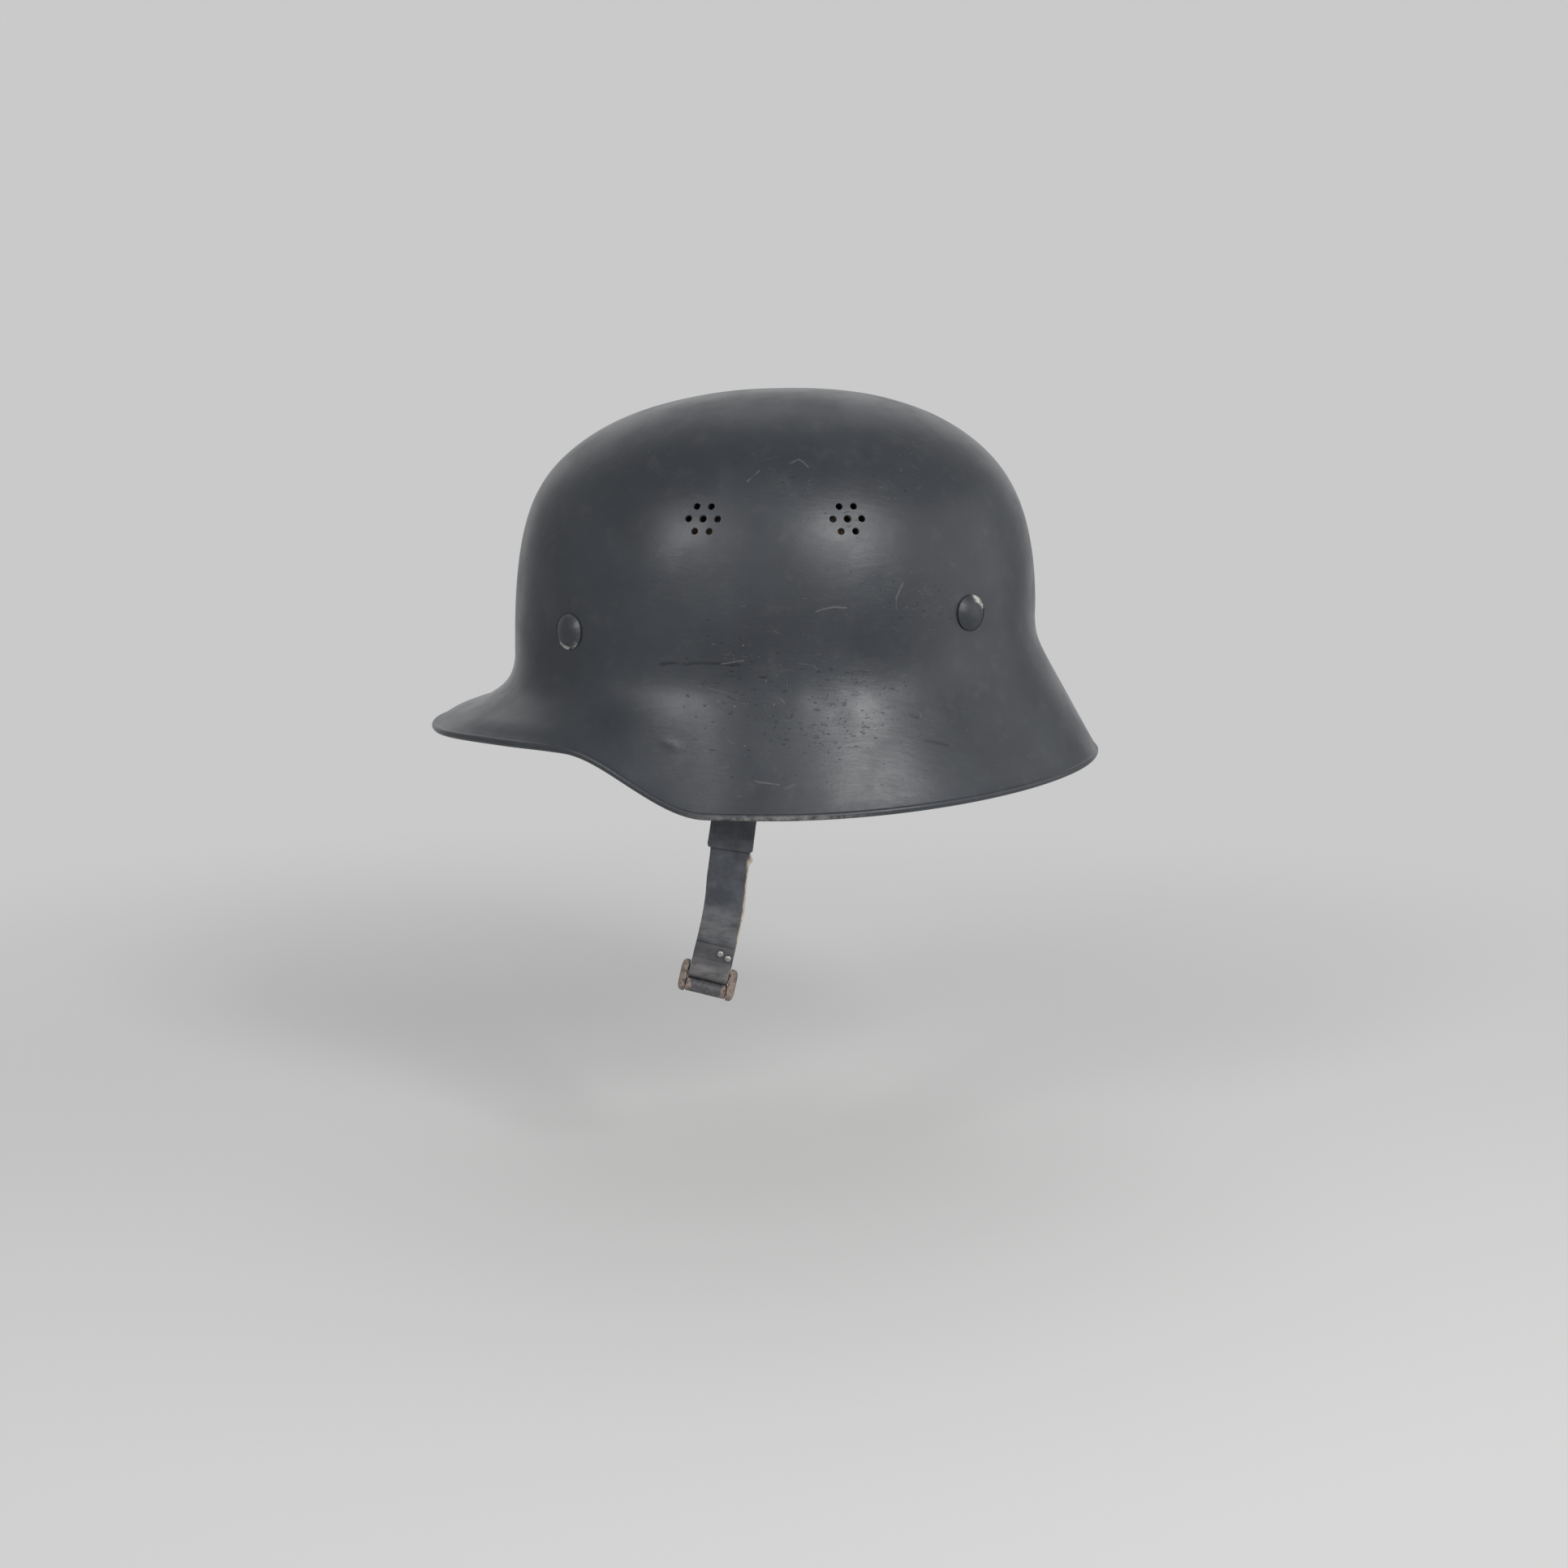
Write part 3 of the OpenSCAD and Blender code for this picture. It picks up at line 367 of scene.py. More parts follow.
def rusted_steel(name):
    """Rust with islands of black paint, which cover more where the mesh's "painted" is high."""
    f = Finish(name)
    tone = f.blend(f.noise(1.6, 6, 0.7).between(0.35, 0.65), (0.105, 0.086, 0.076), (0.29, 0.225, 0.185))
    tone = f.blend(f.noise(0.7, 4, 0.6, offset=2.0).between(0.55, 0.72) * 0.75, tone, (0.46, 0.36, 0.28))
    paint = (f.noise(2.4, 4, 0.62, offset=0.8) + f.mark("painted") * 0.5 - 0.12).between(0.50, 0.58)
    faded = f.noise(1.4, 4, 0.6, offset=4.4).between(0.4, 0.7)
    coat = f.blend(faded, (0.052, 0.052, 0.060), (0.095, 0.094, 0.104))
    tone = f.blend(paint * 0.92, tone, coat)
    bright = f.noise(1.1, 3, 0.5, offset=3.3).between(0.70, 0.74)
    tone = f.blend(bright, tone, (0.42, 0.37, 0.33))
    f.set(Base_Color=tone, Metallic=bright * 0.7, Roughness=0.78 - paint * 0.34 - bright * 0.25)
    f.relief(f.noise(0.6, 5, 0.7) * (1 - paint * 0.7) + paint * 0.6, 0.12)
    return f.material


ZINC = plain_steel("zinc_plated_sheet", (0.30, 0.31, 0.31), (0.46, 0.47, 0.46), (0.12, 0.105, 0.085), 0.42)
SPRING_STEEL = plain_steel(
    "blued_springs", (0.10, 0.105, 0.115), (0.20, 0.205, 0.215), (0.07, 0.05, 0.04), 0.38)
BARE_STEEL = plain_steel("handled_steel", (0.24, 0.235, 0.23), (0.42, 0.41, 0.39), (0.10, 0.065, 0.045), 0.40)
RUSTED_STEEL = rusted_steel("rusted_buckle_steel")
print("finishes:", ZINC.name, SPRING_STEEL.name, BARE_STEEL.name, RUSTED_STEEL.name)

# %% [markdown]
# Leather is dyed only skin deep. The straps are black on the grain side, but along their cut edges and on
# the side that faced the chin the tan flesh shows, and old straps craze across their length. The meshes
# carry "edge", which is high at a cut edge, "flesh", which is high on the inner side, and "wear", where the
# dye is scuffed grey and, on the roll over the buckle's bar, where a highlight is painted in that grey.
# Liner leather is undyed pigskin: brown, with pores and dark sweat stains.

# %% Leather
def strap_leather(name):
    """Black dyed leather, tan and ragged at its cut edges, grey where scuffed and where a highlight is
    painted.
    """
    f = Finish(name)
    edge, flesh, wear = f.mark("edge"), f.mark("flesh"), f.mark("wear")
    tone = f.blend(f.noise(9, 5, 0.6).between(0.35, 0.68), (0.042, 0.046, 0.056), (0.080, 0.086, 0.100))
    worn = f.noise(4.5, 5, 0.7, offset=1.2).between(0.55, 0.76)
    tone = f.blend(worn * 0.35, tone, (0.105, 0.105, 0.108))
    # The grey here is scuffed dye, and on the roll over the buckle's bar it is a painted highlight.
    scuff_and_highlight = wear * f.noise(3.4, 5, 0.72, offset=6.1, place=f.stretched(1, 0.5, 1.3)).between(0.30, 0.62)
    tone = f.blend(scuff_and_highlight * 0.85, tone, (0.155, 0.155, 0.155))
    ragged = edge + f.noise(1.6, 4, 0.6, offset=2.8) * 0.5 - 0.25
    tone = f.blend(ragged.between(0.55, 0.85) * 0.85, tone, (0.19, 0.140, 0.105))
    tone = f.blend(ragged.between(0.86, 1.02) * 0.9, tone, (0.50, 0.435, 0.37))
    nap = f.noise(2.6, 5, 0.7, offset=0.4).between(0.3, 0.7)
    inside = f.blend(nap, (0.115, 0.075, 0.048), (0.23, 0.165, 0.115))
    tone = f.blend(flesh, tone, inside)
    crease = f.noise(1.3, 4, 0.6, place=f.stretched(1, 0.22, 1.0))
    grain = f.cells(0.9, "F1").between(0.0, 0.75)
    f.set(Base_Color=tone, Roughness=0.46 + worn * 0.12 + flesh * 0.3 + scuff_and_highlight * 0.15)
    f.set(Specular_IOR_Level=0.42)
    f.relief(grain * 0.45 + crease * 0.9 + f.noise(0.4, 3) * flesh * 0.8, 0.11)
    return f.material


def liner_leather(name):
    """Brown leather with pores, wrinkles and sweat stains, dark at its edges and pale on its flesh side."""
    f = Finish(name)
    edge, flesh = f.mark("edge"), f.mark("flesh")
    tone = f.blend(f.noise(24, 5, 0.6).between(0.34, 0.68), (0.135, 0.066, 0.030), (0.285, 0.160, 0.080))
    sweat = f.noise(13, 6, 0.72, offset=2.2).between(0.50, 0.72)
    tone = f.blend(sweat * 0.65, tone, (0.055, 0.028, 0.015))
    tone = f.blend(edge.between(0.55, 1.0) * 0.7, tone, (0.060, 0.030, 0.016))
    tone = f.blend(flesh * 0.75, tone, (0.33, 0.225, 0.135))
    pores = f.cells(1.9, "F1").between(0.16, 0.04)
    wrinkles = f.noise(2.4, 5, 0.65, offset=3.7)
    tone = f.blend(pores * 0.6, tone, (0.035, 0.018, 0.010))
    f.set(Base_Color=tone, Roughness=0.58 - sweat * 0.14 + flesh * 0.25)
    f.relief(wrinkles * 0.8 - pores * 0.6 + f.cells(0.7, "F1") * 0.25, 0.16)
    return f.material


def soft_fibre(name, dark, light, strand_mm):
    """Felt or cotton, with paler loose fibres."""
    f = Finish(name)
    tone = f.blend(f.noise(6, 5, 0.65).between(0.35, 0.66), dark, light)
    fibre = f.noise(strand_mm, 6, 0.75, offset=0.6)
    tone = f.blend(fibre.between(0.58, 0.75) * 0.6, tone, tuple(min(1.0, 1.5 * c) for c in light))
    f.set(Base_Color=tone, Roughness=0.92)
    f.set(Sheen_Weight=0.35, Sheen_Roughness=0.6)
    f.relief(fibre, 0.25)
    return f.material


STRAP_LEATHER = strap_leather("black_strap_leather")
LINER_LEATHER = liner_leather("brown_liner_leather")
FELT = soft_fibre("grey_felt", (0.17, 0.16, 0.135), (0.30, 0.28, 0.235), 0.8)
CORD = soft_fibre("buff_cotton_cord", (0.30, 0.24, 0.155), (0.50, 0.42, 0.30), 0.3)
print("finishes:", STRAP_LEATHER.name, LINER_LEATHER.name, FELT.name, CORD.name)

# %% [markdown]
# ## Mesh helpers
#
# Nearly every part of a helmet is a section carried along a path: the rim round its oval, a strap down its
# length, a rivet's profile round its axis. So one function joins a list of equal rings into a skin, and
# another turns points in millimetres into a named object that rides on its body.

# %% Rings, skins and pieces
def turned(axis, degrees):
    """A 4 by 4 turn about X, Y or Z."""
    return np.array(Matrix.Rotation(radians(degrees), 4, axis))


def moved(x, y, z):
    """A 4 by 4 shift, in millimetres."""
    return np.array(Matrix.Translation((x, y, z)))


def carried(place, points):
    """Points in millimetres, taken by a 4 by 4 place."""
    points = np.asarray(points, float).reshape(-1, 3)
    return points @ place[:3, :3].T + place[:3, 3]


def unit(v):
    """One or more vectors, each brought to length 1."""
    v = np.asarray(v, float)
    return v / np.maximum(np.linalg.norm(v, axis=-1, keepdims=True), 1e-12)


def skin(rings, round_path=False):
    """Joins equal rings of points. The path goes round, or its two ends are closed with a face each."""
    n, m = len(rings[0]), len(rings)
    faces = []
    for i in range(m if round_path else m - 1):
        a, b = i * n, ((i + 1) % m) * n
        for j in range(n):
            k = (j + 1) % n
            faces.append((a + j, a + k, b + k, b + j))
    if not round_path:
        faces += [tuple(range(n))[::-1], tuple(range((m - 1) * n, m * n))]
    return np.vstack(rings), faces


def joined(*skins):
    """Several skins as one list of points and one list of faces."""
    points, faces, start = [], [], 0
    for p, f in skins:
        points.append(p)
        faces += [tuple(start + i for i in face) for face in f]
        start += len(p)
    return np.vstack(points), faces


def make_mesh(name, points, faces):
    """A named object from points in millimetres, with its faces turned to look outwards."""
    mesh = bpy.data.meshes.new(name)
    mesh.from_pydata([tuple(p) for p in np.asarray(points) * MM], [], faces)
    work = bmesh.new()
    work.from_mesh(mesh)
    bmesh.ops.recalc_face_normals(work, faces=work.faces)
    work.to_mesh(mesh)
    work.free()
    thing = bpy.data.objects.new(name, mesh)
    bpy.context.scene.collection.objects.link(thing)
    return thing


def cut(thing, points, faces):
    """Takes a closed skin out of an object, exactly."""
    tool = make_mesh("cutter", points, faces)
    knife = thing.modifiers.new("cut", "BOOLEAN")
    knife.operation, knife.solver, knife.object = "DIFFERENCE", "EXACT", tool
    graph = bpy.context.evaluated_depsgraph_get()
    mesh = bpy.data.meshes.new_from_object(thing.evaluated_get(graph))
    thing.modifiers.clear()
    thing.data = mesh
    bpy.data.objects.remove(tool)


def places(thing):
    """An object's points in millimetres."""
    flat = np.zeros(len(thing.data.vertices) * 3)
    thing.data.vertices.foreach_get("co", flat)
    return flat.reshape(-1, 3) / MM


def carry_mark(thing, name, values):
    """Stores a number for each point, which a finish reads with mark()."""
    layer = thing.data.attributes.get(name) or thing.data.attributes.new(name, "FLOAT", "POINT")
    layer.data.foreach_set("value", np.asarray(values, np.float32))


def shaded(thing, finish, sharp):
    """Gives an object its finish, smooth but for edges that turn by more than so many degrees."""
    thing.data.materials.clear()
    thing.data.materials.append(finish)
    thing.data.polygons.foreach_set("use_smooth", [True] * len(thing.data.polygons))
    thing.data.set_sharp_from_angle(angle=radians(sharp))


def finished(thing, finish, body, replaces, sharp=38):
    """Shades an object, hides the solids that it stands in for and seats it on its body."""
    shaded(thing, finish, sharp)
    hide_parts(*replaces)
    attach(thing, body)


print("mesh helpers ready")

# %% [markdown]
# ## The shell
#
# The helmet is one pressing of sheet steel. Its plan is an oval, its dome is fuller than an ellipse at the
# shoulder, and a crease runs round it, low over the visor and high over the neck, below which the sheet
# swings out into the skirt. The solid follows the same rules with coarse facets. Here the rules are
# evaluated on arrays, with rows packed closely where the form turns quickly: at the crown, at the crease
# and along the rolled rim. A small thing is added that the photograph shows: the visor is slightly arched,
# and its sides stand a little higher than its middle.
#
# Most values come in threes, for the front, the rear and the side, and pass smoothly from one to the next.

# %% The shell's rules
HALF_LENGTH, HALF_WIDTH = 110.25, 94.0
CROWN_HEIGHT, CROWN_SETBACK = 161.5, 2.0
SHEET = 1.2
VISOR_REACH, EAR_REACH, NECK_REACH = 36.0, 21.0, 28.0
VISOR_HEIGHT, NECK_HEIGHT = 22.0, 10.5
TEMPLE_FRONT, TEMPLE_REAR = -83.0, -26.5
RIM_ROLL, RIM_LIP = 1.5, 0.5
SWELL, FLATNESS = (2.3, 2.9, 2.6), (3.3, 2.15, 2.725)  # front, rear and side
CREASE, BEND = (37, 60, 47), (4.5, 3, 5)  # front, rear and side
VISOR_POINT, NECK_DROOP = 3.4, 1.7
VISOR_LIFT, LIFT_RISES, LIFT_FALLS = 1.9, (6, 36), (44, 66)  # millimetres, and degrees off the front
VISOR_ARCH, ARCH_MIDDLE, ARCH_SPREAD = 1.8, 0.72, 0.2  # millimetres, and shares of the way out
NUDGE = 0.01


def by_turn(front, rear, side, turn):
    """From the side's value to the front's or the rear's, as the turn leaves the side."""
    c = np.cos(turn)
    return side + (np.where(c > 0, front, rear) - side) * c * c


def ease(start, end, x):
    """From 0 at the start to 1 at the end, smoothly."""
    t = np.clip((x - start) / (end - start), 0, 1)
    return t * t * (3 - 2 * t)


def hump(x, middle, reach, power=2):
    """1 at the middle, and falling away smoothly on both sides."""
    return np.exp(-((x - middle) / reach) ** power)


def ramp(x, start, length):
    """0 up to the start and 1 from a length further on, straight in between."""
    return np.clip((x - start) / length, 0, 1)


def shell_points(turn, depth):
    """Points of the outer face, in millimetres.

    turn leaves the visor for the left ear. depth is 0 at the crown, 1 where the dome ends and 2 at the rim.
    """
    turn, depth = np.broadcast_arrays(np.asarray(turn, float), np.asarray(depth, float))
    swell, flatness = by_turn(*SWELL, turn), by_turn(*FLATNESS, turn)
    crease, bend = by_turn(*CREASE, turn), by_turn(*BEND, turn)
    foot = crease + 3 * bend
    plan = np.stack([HALF_WIDTH * np.sin(turn), -HALF_LENGTH * np.cos(turn)], -1)
    fall = np.clip(depth, 0, 1) * pi / 2
    out = np.sin(fall) ** (2 / swell)
    up = np.maximum(0, np.cos(fall)) ** (2 / flatness)
    away = unit(np.stack([np.sin(turn) / HALF_WIDTH, -np.cos(turn) / HALF_LENGTH], -1))
    c = np.cos(turn)
    reach = EAR_REACH + np.where(
        c > 0, (VISOR_REACH - EAR_REACH) * np.abs(c) ** VISOR_POINT, (NECK_REACH - EAR_REACH) * c * c)
    rim = plan + reach[..., None] * away
    low = VISOR_HEIGHT * (1 - ease(TEMPLE_FRONT, TEMPLE_REAR, rim[..., 1]))
    low = low + NECK_HEIGHT * (np.maximum(0, rim[..., 1]) / (HALF_LENGTH + NECK_REACH)) ** NECK_DROOP
    off_front = np.degrees(np.arccos(np.clip(c, -1, 1)))
    low = low + VISOR_LIFT * ease(*LIFT_RISES, off_front) * (1 - ease(*LIFT_FALLS, off_front))

    def swung(z):
        """How far the sheet has swung out at a height, before it is scaled to reach the rim."""
        return bend * np.log1p(np.exp((crease - z) / bend))

    z = foot + (low - foot) * np.maximum(0, depth - 1)
    share = (swung(z) - swung(foot)) / (swung(low) - swung(foot))
    z = z + VISOR_ARCH * hump(share, ARCH_MIDDLE, ARCH_SPREAD) * np.clip(c, 0, 1) ** 4
    skirt = plan + (rim - plan) * share[..., None]
    dome = plan * out[..., None] + np.stack([0 * up, CROWN_SETBACK * up], -1)
    on_dome = depth < 1
    flat = np.where(on_dome[..., None], dome, skirt)
    height = np.where(on_dome, foot + (CROWN_HEIGHT - foot) * up, z)
    return np.concatenate([flat, height[..., None]], -1)


def shell_fall(turn, depth):
    """The way down the outer face, not of unit length."""
    below = shell_points(turn, np.minimum(2, depth + NUDGE))
    return below - shell_points(turn, np.maximum(NUDGE, depth - NUDGE))


def shell_normals(turn, depth):
    """The ways straight out of the outer face."""
    turn, depth = np.broadcast_arrays(np.asarray(turn, float), np.asarray(depth, float))
    around = shell_points(turn + NUDGE, depth) - shell_points(turn - NUDGE, depth)
    return unit(np.cross(shell_fall(turn, depth), around))


def turn_and_depth(y, z, side=1):
    """Where on the dome or skirt a point at that Y and height lies, found on a fine grid."""
    turns = np.radians(np.arange(2, 178, 0.5))[:, None]
    depths = np.linspace(0.04, 1.99, 500)[None, :]
    grid = shell_points(turns, depths)
    i = np.argmin((grid[..., 1] - y) ** 2 + (grid[..., 2] - z) ** 2)
    a, b = np.unravel_index(i, grid.shape[:2])
    return side * turns[a, 0], depths[0, b]


print("crown", shell_points(0, 0).round(1), "rim at the ear", shell_points(pi / 2, 2).round(1))

# %% [markdown]
# Old steel is never quite true. A few slow waves of about a tenth of a millimetre make the reflections
# wander as they do on a real pressing, and a handful of dings sit where this helmet has been knocked. The
# dome is also about a millimetre fuller at its crown and its two shoulders than the plain rules make it.
# Both faces of the sheet move together, so it keeps its thickness.

# %% Waves and dings
DINGS = [  # y, z, radius and depth, on the wearer's left
    (-39.6, 26.9, 1.6, 0.45), (17.5, 44.8, 5.0, 0.22), (25.6, 38.6, 3.5, 0.20), (1.9, 46.0, 7.0, 0.20),
    (-16.4, 51.3, 9.0, 0.16), (46.5, 47.0, 6.0, 0.18), (-4.2, 20.7, 6.5, 0.14), (41.3, 87.5, 5.0, 0.16),
    (10.3, 127.3, 8.0, 0.20), (-42.8, 133.7, 9.0, 0.16), (62.5, 82.3, 7.0, 0.14), (34.0, 60.0, 4.0, 0.16),
]
DINGS_ELSEWHERE = [  # the same, on the wearer's right
    (-72, 96, 9, 0.2), (88, 92, 10, 0.22), (5, 60, 8, 0.18), (60, 30, 6, 0.2), (-20, 140, 9, 0.2),
]
FULLER = [  # y, z, radius and rise, on the middle line
    (10, 161, 34, 1.25), (-97, 124, 27, 1.2), (99, 125, 28, 1.6),
]
FULLER_ACROSS = 1.6  # how many times wider than long a fuller place is
ding_places = [(shell_points(*turn_and_depth(y, z)), r, d) for y, z, r, d in DINGS]
ding_places += [(shell_points(*turn_and_depth(y, z, -1)), r, d) for y, z, r, d in DINGS_ELSEWHERE]


def unevenness(points):
    """How far the sheet stands off its true form at each point, in millimetres."""
    x, y, z = np.moveaxis(points, -1, 0)
    waves = 0.10 * np.sin(0.062 * x + 0.3) * np.sin(0.055 * y + 1.2) * np.sin(0.048 * z + 0.5)
    waves += 0.05 * np.sin(0.115 * y + 0.09 * z + 2.0) * np.cos(0.10 * x - 0.5)
    waves += 0.022 * np.sin(0.33 * z + 0.06 * y) * np.sin(0.045 * y + 0.8) * hump(z, 66, 16)
    for at_y, at_z, radius, rise in FULLER:
        away = np.hypot(np.hypot(x / FULLER_ACROSS, y - at_y), z - at_z)
        waves += rise * hump(away, 0, radius)
    for centre, radius, depth in ding_places:
        waves -= depth * hump(np.linalg.norm(points - centre, axis=-1), 0, radius)
    return waves


# %% [markdown]
# The real shell starts as a flat disc that is drawn into a bowl, trimmed and rolled at its edge. Here it is
# a closed skin instead: rings of points run down the outer face, round the bead and up the inner face. Both
# faces follow the same rules, one sheet's thickness apart, so the steel is equally thick everywhere.

# %% The pressing, with its rolled rim
TURNS = 288
OUTER_ROWS, OUTER_SKIRT_ROWS, OUTER_END = 84, 64, 1.93
INNER_ROWS, INNER_SKIRT_ROWS = 44, 32
PACKING = 1.35
BEAD_START, BEAD_END, BEAD_STEPS = -42, 228, 20


def packed_rows(count):
    """Shares from just above 0 to 1, packed towards both ends."""
    s = np.arange(1, count + 1) / count
    return s**PACKING / (s**PACKING + (1 - s) ** PACKING)


turns = np.arange(TURNS) * 2 * pi / TURNS
outer_depths = np.append(packed_rows(OUTER_ROWS), 1 + np.arange(1, OUTER_SKIRT_ROWS) / OUTER_SKIRT_ROWS)
inner_depths = np.append(packed_rows(INNER_ROWS), 1 + np.arange(1, INNER_SKIRT_ROWS - 1) / INNER_SKIRT_ROWS)


def face_ring(depth, inset):
    """One ring of points at a depth, set in from the outer face."""
    points, normals = shell_points(turns, depth), shell_normals(turns, depth)
    return points + normals * (unevenness(points)[:, None] - inset)


def rim_rings(angles):
    """Rings of the rolled bead, whose circle passes through the end of the outer face."""
    inset = RIM_ROLL - RIM_LIP
    drop = RIM_ROLL * sin(acos(inset / RIM_ROLL))
    out, down = shell_normals(turns, 2.0), unit(shell_fall(turns, 2.0))
    end = shell_points(turns, 2.0) - (drop + RIM_ROLL) * down
    middle = end - inset * out + drop * down
    return [middle + RIM_ROLL * (cos(a) * out + sin(a) * down) for a in angles]


bead_angles = np.radians(np.linspace(BEAD_START, BEAD_END, BEAD_STEPS))
rings = [face_ring(d, 0) for d in outer_depths if d < OUTER_END]
rings += rim_rings(bead_angles)
rings += [face_ring(d, SHEET) for d in inner_depths[::-1]]
shell_piece = make_mesh("pressed_shell", *skin(rings))
print("shell:", len(shell_piece.data.vertices), "points")

# %% [markdown]
# The vents are seven pierced holes in a six-sided ring, two clusters on each side. Piercing leaves each
# hole a little dished, so the cutter is a pin with a flared head. The liner's rivets have plain holes under
# their heads.

# %% Vents and rivet holes
VENT_HEIGHT, VENT_SPACING, VENT_BACK = 113.0, 56.5, 0.5
VENT_RING, VENT_HOLE, VENT_DISH = 5.8, 2.5, 0.62
RIVET_TURNS = (42.0, 135.0)
LINER_HEIGHT, LINER_TILT = 71.0, 2.8
BAND_GAP, BAND_SHEET = 3.0, 1.0
RIVET_SHANK, SHANK_ROOM = 4.6, 0.3


def facing(point, direction):
    """A place at a point with Z along a direction and Y level, as the solids have it."""
    d = unit(direction)
    return moved(*point) @ turned("Z", np.degrees(atan2(d[1], d[0]))) @ turned("Y", np.degrees(acos(d[2])))


def on_shell(turn, height):
    """The place on the dome at a turn in radians and a height in millimetres, found by halving."""
    low, high = 0.02, 1.0
    for _ in range(50):
        depth = (low + high) / 2
        low, high = (depth, high) if shell_points(turn, depth)[2] > height else (low, depth)
    return facing(shell_points(turn, depth), shell_normals(turn, depth))


def lathed(profile, sides=24):
    """A skin from a profile of radius and height, turned about Z."""
    angles = np.arange(sides) * 2 * pi / sides
    return skin([np.stack([r * np.cos(angles), r * np.sin(angles), 0 * angles + z], -1) for r, z in profile])


def mirror_x(points):
    """Points taken to the other side of the helmet."""
    return np.asarray(points) * (-1, 1, 1)


pins = []
bore, lip = VENT_HOLE / 2, VENT_HOLE / 2 + VENT_DISH
flared_pin = [(bore, -5), (bore, -0.45), (bore + 0.22, -0.12), (lip, 0.22), (lip, 2)]
six_round = [(VENT_RING * cos(radians(a)), VENT_RING * sin(radians(a))) for a in range(30, 390, 60)]
for way in (-1, 1):
    turn, _ = turn_and_depth(VENT_BACK + way * VENT_SPACING / 2, VENT_HEIGHT)
    vent_place = on_shell(turn, VENT_HEIGHT)
    for x, y in [(0, 0)] + six_round:
        points, faces = lathed(flared_pin, 20)
        pins.append((carried(vent_place @ moved(x, y, 0), points), faces))
rivet_places = []
shank_pin = [(RIVET_SHANK / 2 + SHANK_ROOM, -6), (RIVET_SHANK / 2 + SHANK_ROOM, 2)]
for degrees in RIVET_TURNS:
    height = LINER_HEIGHT - HALF_LENGTH * cos(radians(degrees)) * tan(radians(LINER_TILT))
    rivet_places.append(on_shell(radians(degrees), height))
    points, faces = lathed(shank_pin)
    pins.append((carried(rivet_places[-1], points), faces))
pins = [pin for points, faces in pins for pin in ((points, faces), (mirror_x(points), faces))]
cut(shell_piece, *joined(*pins))
print("holes:", len(pins), "shell now:", len(shell_piece.data.vertices), "points")

# %% [markdown]
# Wear isn't even. It gathers round the vents, on the shoulder over them, on the brow of the skirt and along
# the rim, so the mesh gets its "wear" from a list of worn places, and its "rim_wear" from how near a point
# lies to the bead. The bead is worn most by the ears, where the helmet is picked up.

# %% Where the paint is worn
WORN = [  # y, z, radius and strength, on the wearer's left
    (10, 127, 13, 1.0), (46, 128, 12, 0.8), (53, 141, 10, 0.7), (41, 90, 11, 0.9), (50, 77, 9, 0.5),
    (-17, 67, 24, 0.45), (-16, 51, 22, 0.5), (17, 45, 20, 0.7), (26, 38, 18, 0.7), (46, 47, 16, 0.5),
    (-4, 22, 24, 0.6), (53, 14, 18, 0.4), (-15, 132, 12, 0.4), (-43, 133, 13, 0.35), (62, 82, 14, 0.55),
    (-28, 113, 10, 0.6), (28, 113, 10, 0.6), (72, 28, 20, 0.35), (-40, 27, 14, 0.4), (66, 78, 14, 0.4),
]
WORN_ELSEWHERE = [  # the same, on the wearer's right
    (-60, 70, 22, 0.5), (20, 40, 25, 0.6), (60, 110, 20, 0.6), (-20, 100, 18, 0.5), (90, 45, 24, 0.5),
]
LEAST_WEAR, CROWN_WEAR, CROWN_RADIUS = 0.12, 0.35, 40


def wear_at(points):
    """How worn the paint is at each point, from 0 to 1."""
    level = np.full(len(points), LEAST_WEAR)
    spots = [(y, z, r, s, 1) for y, z, r, s in WORN] + [(y, z, r, s, -1) for y, z, r, s in WORN_ELSEWHERE]
    for y, z, radius, strength, side in spots:
        centre = shell_points(*turn_and_depth(y, z, side))
        level = level + strength * hump(np.linalg.norm(points - centre, axis=-1), 0, radius)
    crown = shell_points(0, 0)
    level = level + CROWN_WEAR * hump(np.linalg.norm(points - crown, axis=-1), 0, CROWN_RADIUS)
    return np.clip(level, 0, 1)


def rim_wear_at(points):
    """How bare the bead is at each point, from the distance to the rim at the same turn."""
    turn_of = np.arctan2(points[:, 0] / HALF_WIDTH, -points[:, 1] / HALF_LENGTH)
    edge = shell_points(turn_of, np.full(len(points), 2.0))
    flat = np.linalg.norm(points[:, :2] - edge[:, :2], axis=1)
    near = np.hypot(points[:, 2] - edge[:, 2], np.minimum(flat, 30))
    return np.clip(1.7 - near / 1.3, 0, 1) * (0.22 + 0.48 * hump(edge[:, 1], 10, 62))


SCRATCHES = [  # y and z of a run of points on the wearer's left
    [(6, 134), (10, 135.5), (13, 132.5)], [(-10, 127), (-6, 131)], [(50, 88), (48, 82), (47.6, 78)],
    [(17, 78.5), (23, 79.5), (28, 79.0)], [(-20, 57.5), (-12, 59)], [(-8, 14.5), (2, 12.8)],
]
NICKS = [  # the same, for marks that look dark
    [(-40.1, 27.1), (-39.2, 26.7)], [(14, 44), (17.5, 45), (20, 44.2)], [(24.5, 38.3), (27, 39.2)],
    [(45.5, 47.4), (48.5, 46.6)], [(53, 37), (56.5, 35.8)], [(59, 27.5), (68, 25.0)],
    [(-44, 57), (-28, 57.8), (-13, 57.2)],
]


def on_left(lines):
    """The stretches of each run, as pairs of points on the shell."""
    runs = [[shell_points(*turn_and_depth(y, z)) for y, z in line] for line in lines]
    return [pair for run in runs for pair in zip(run, run[1:])]


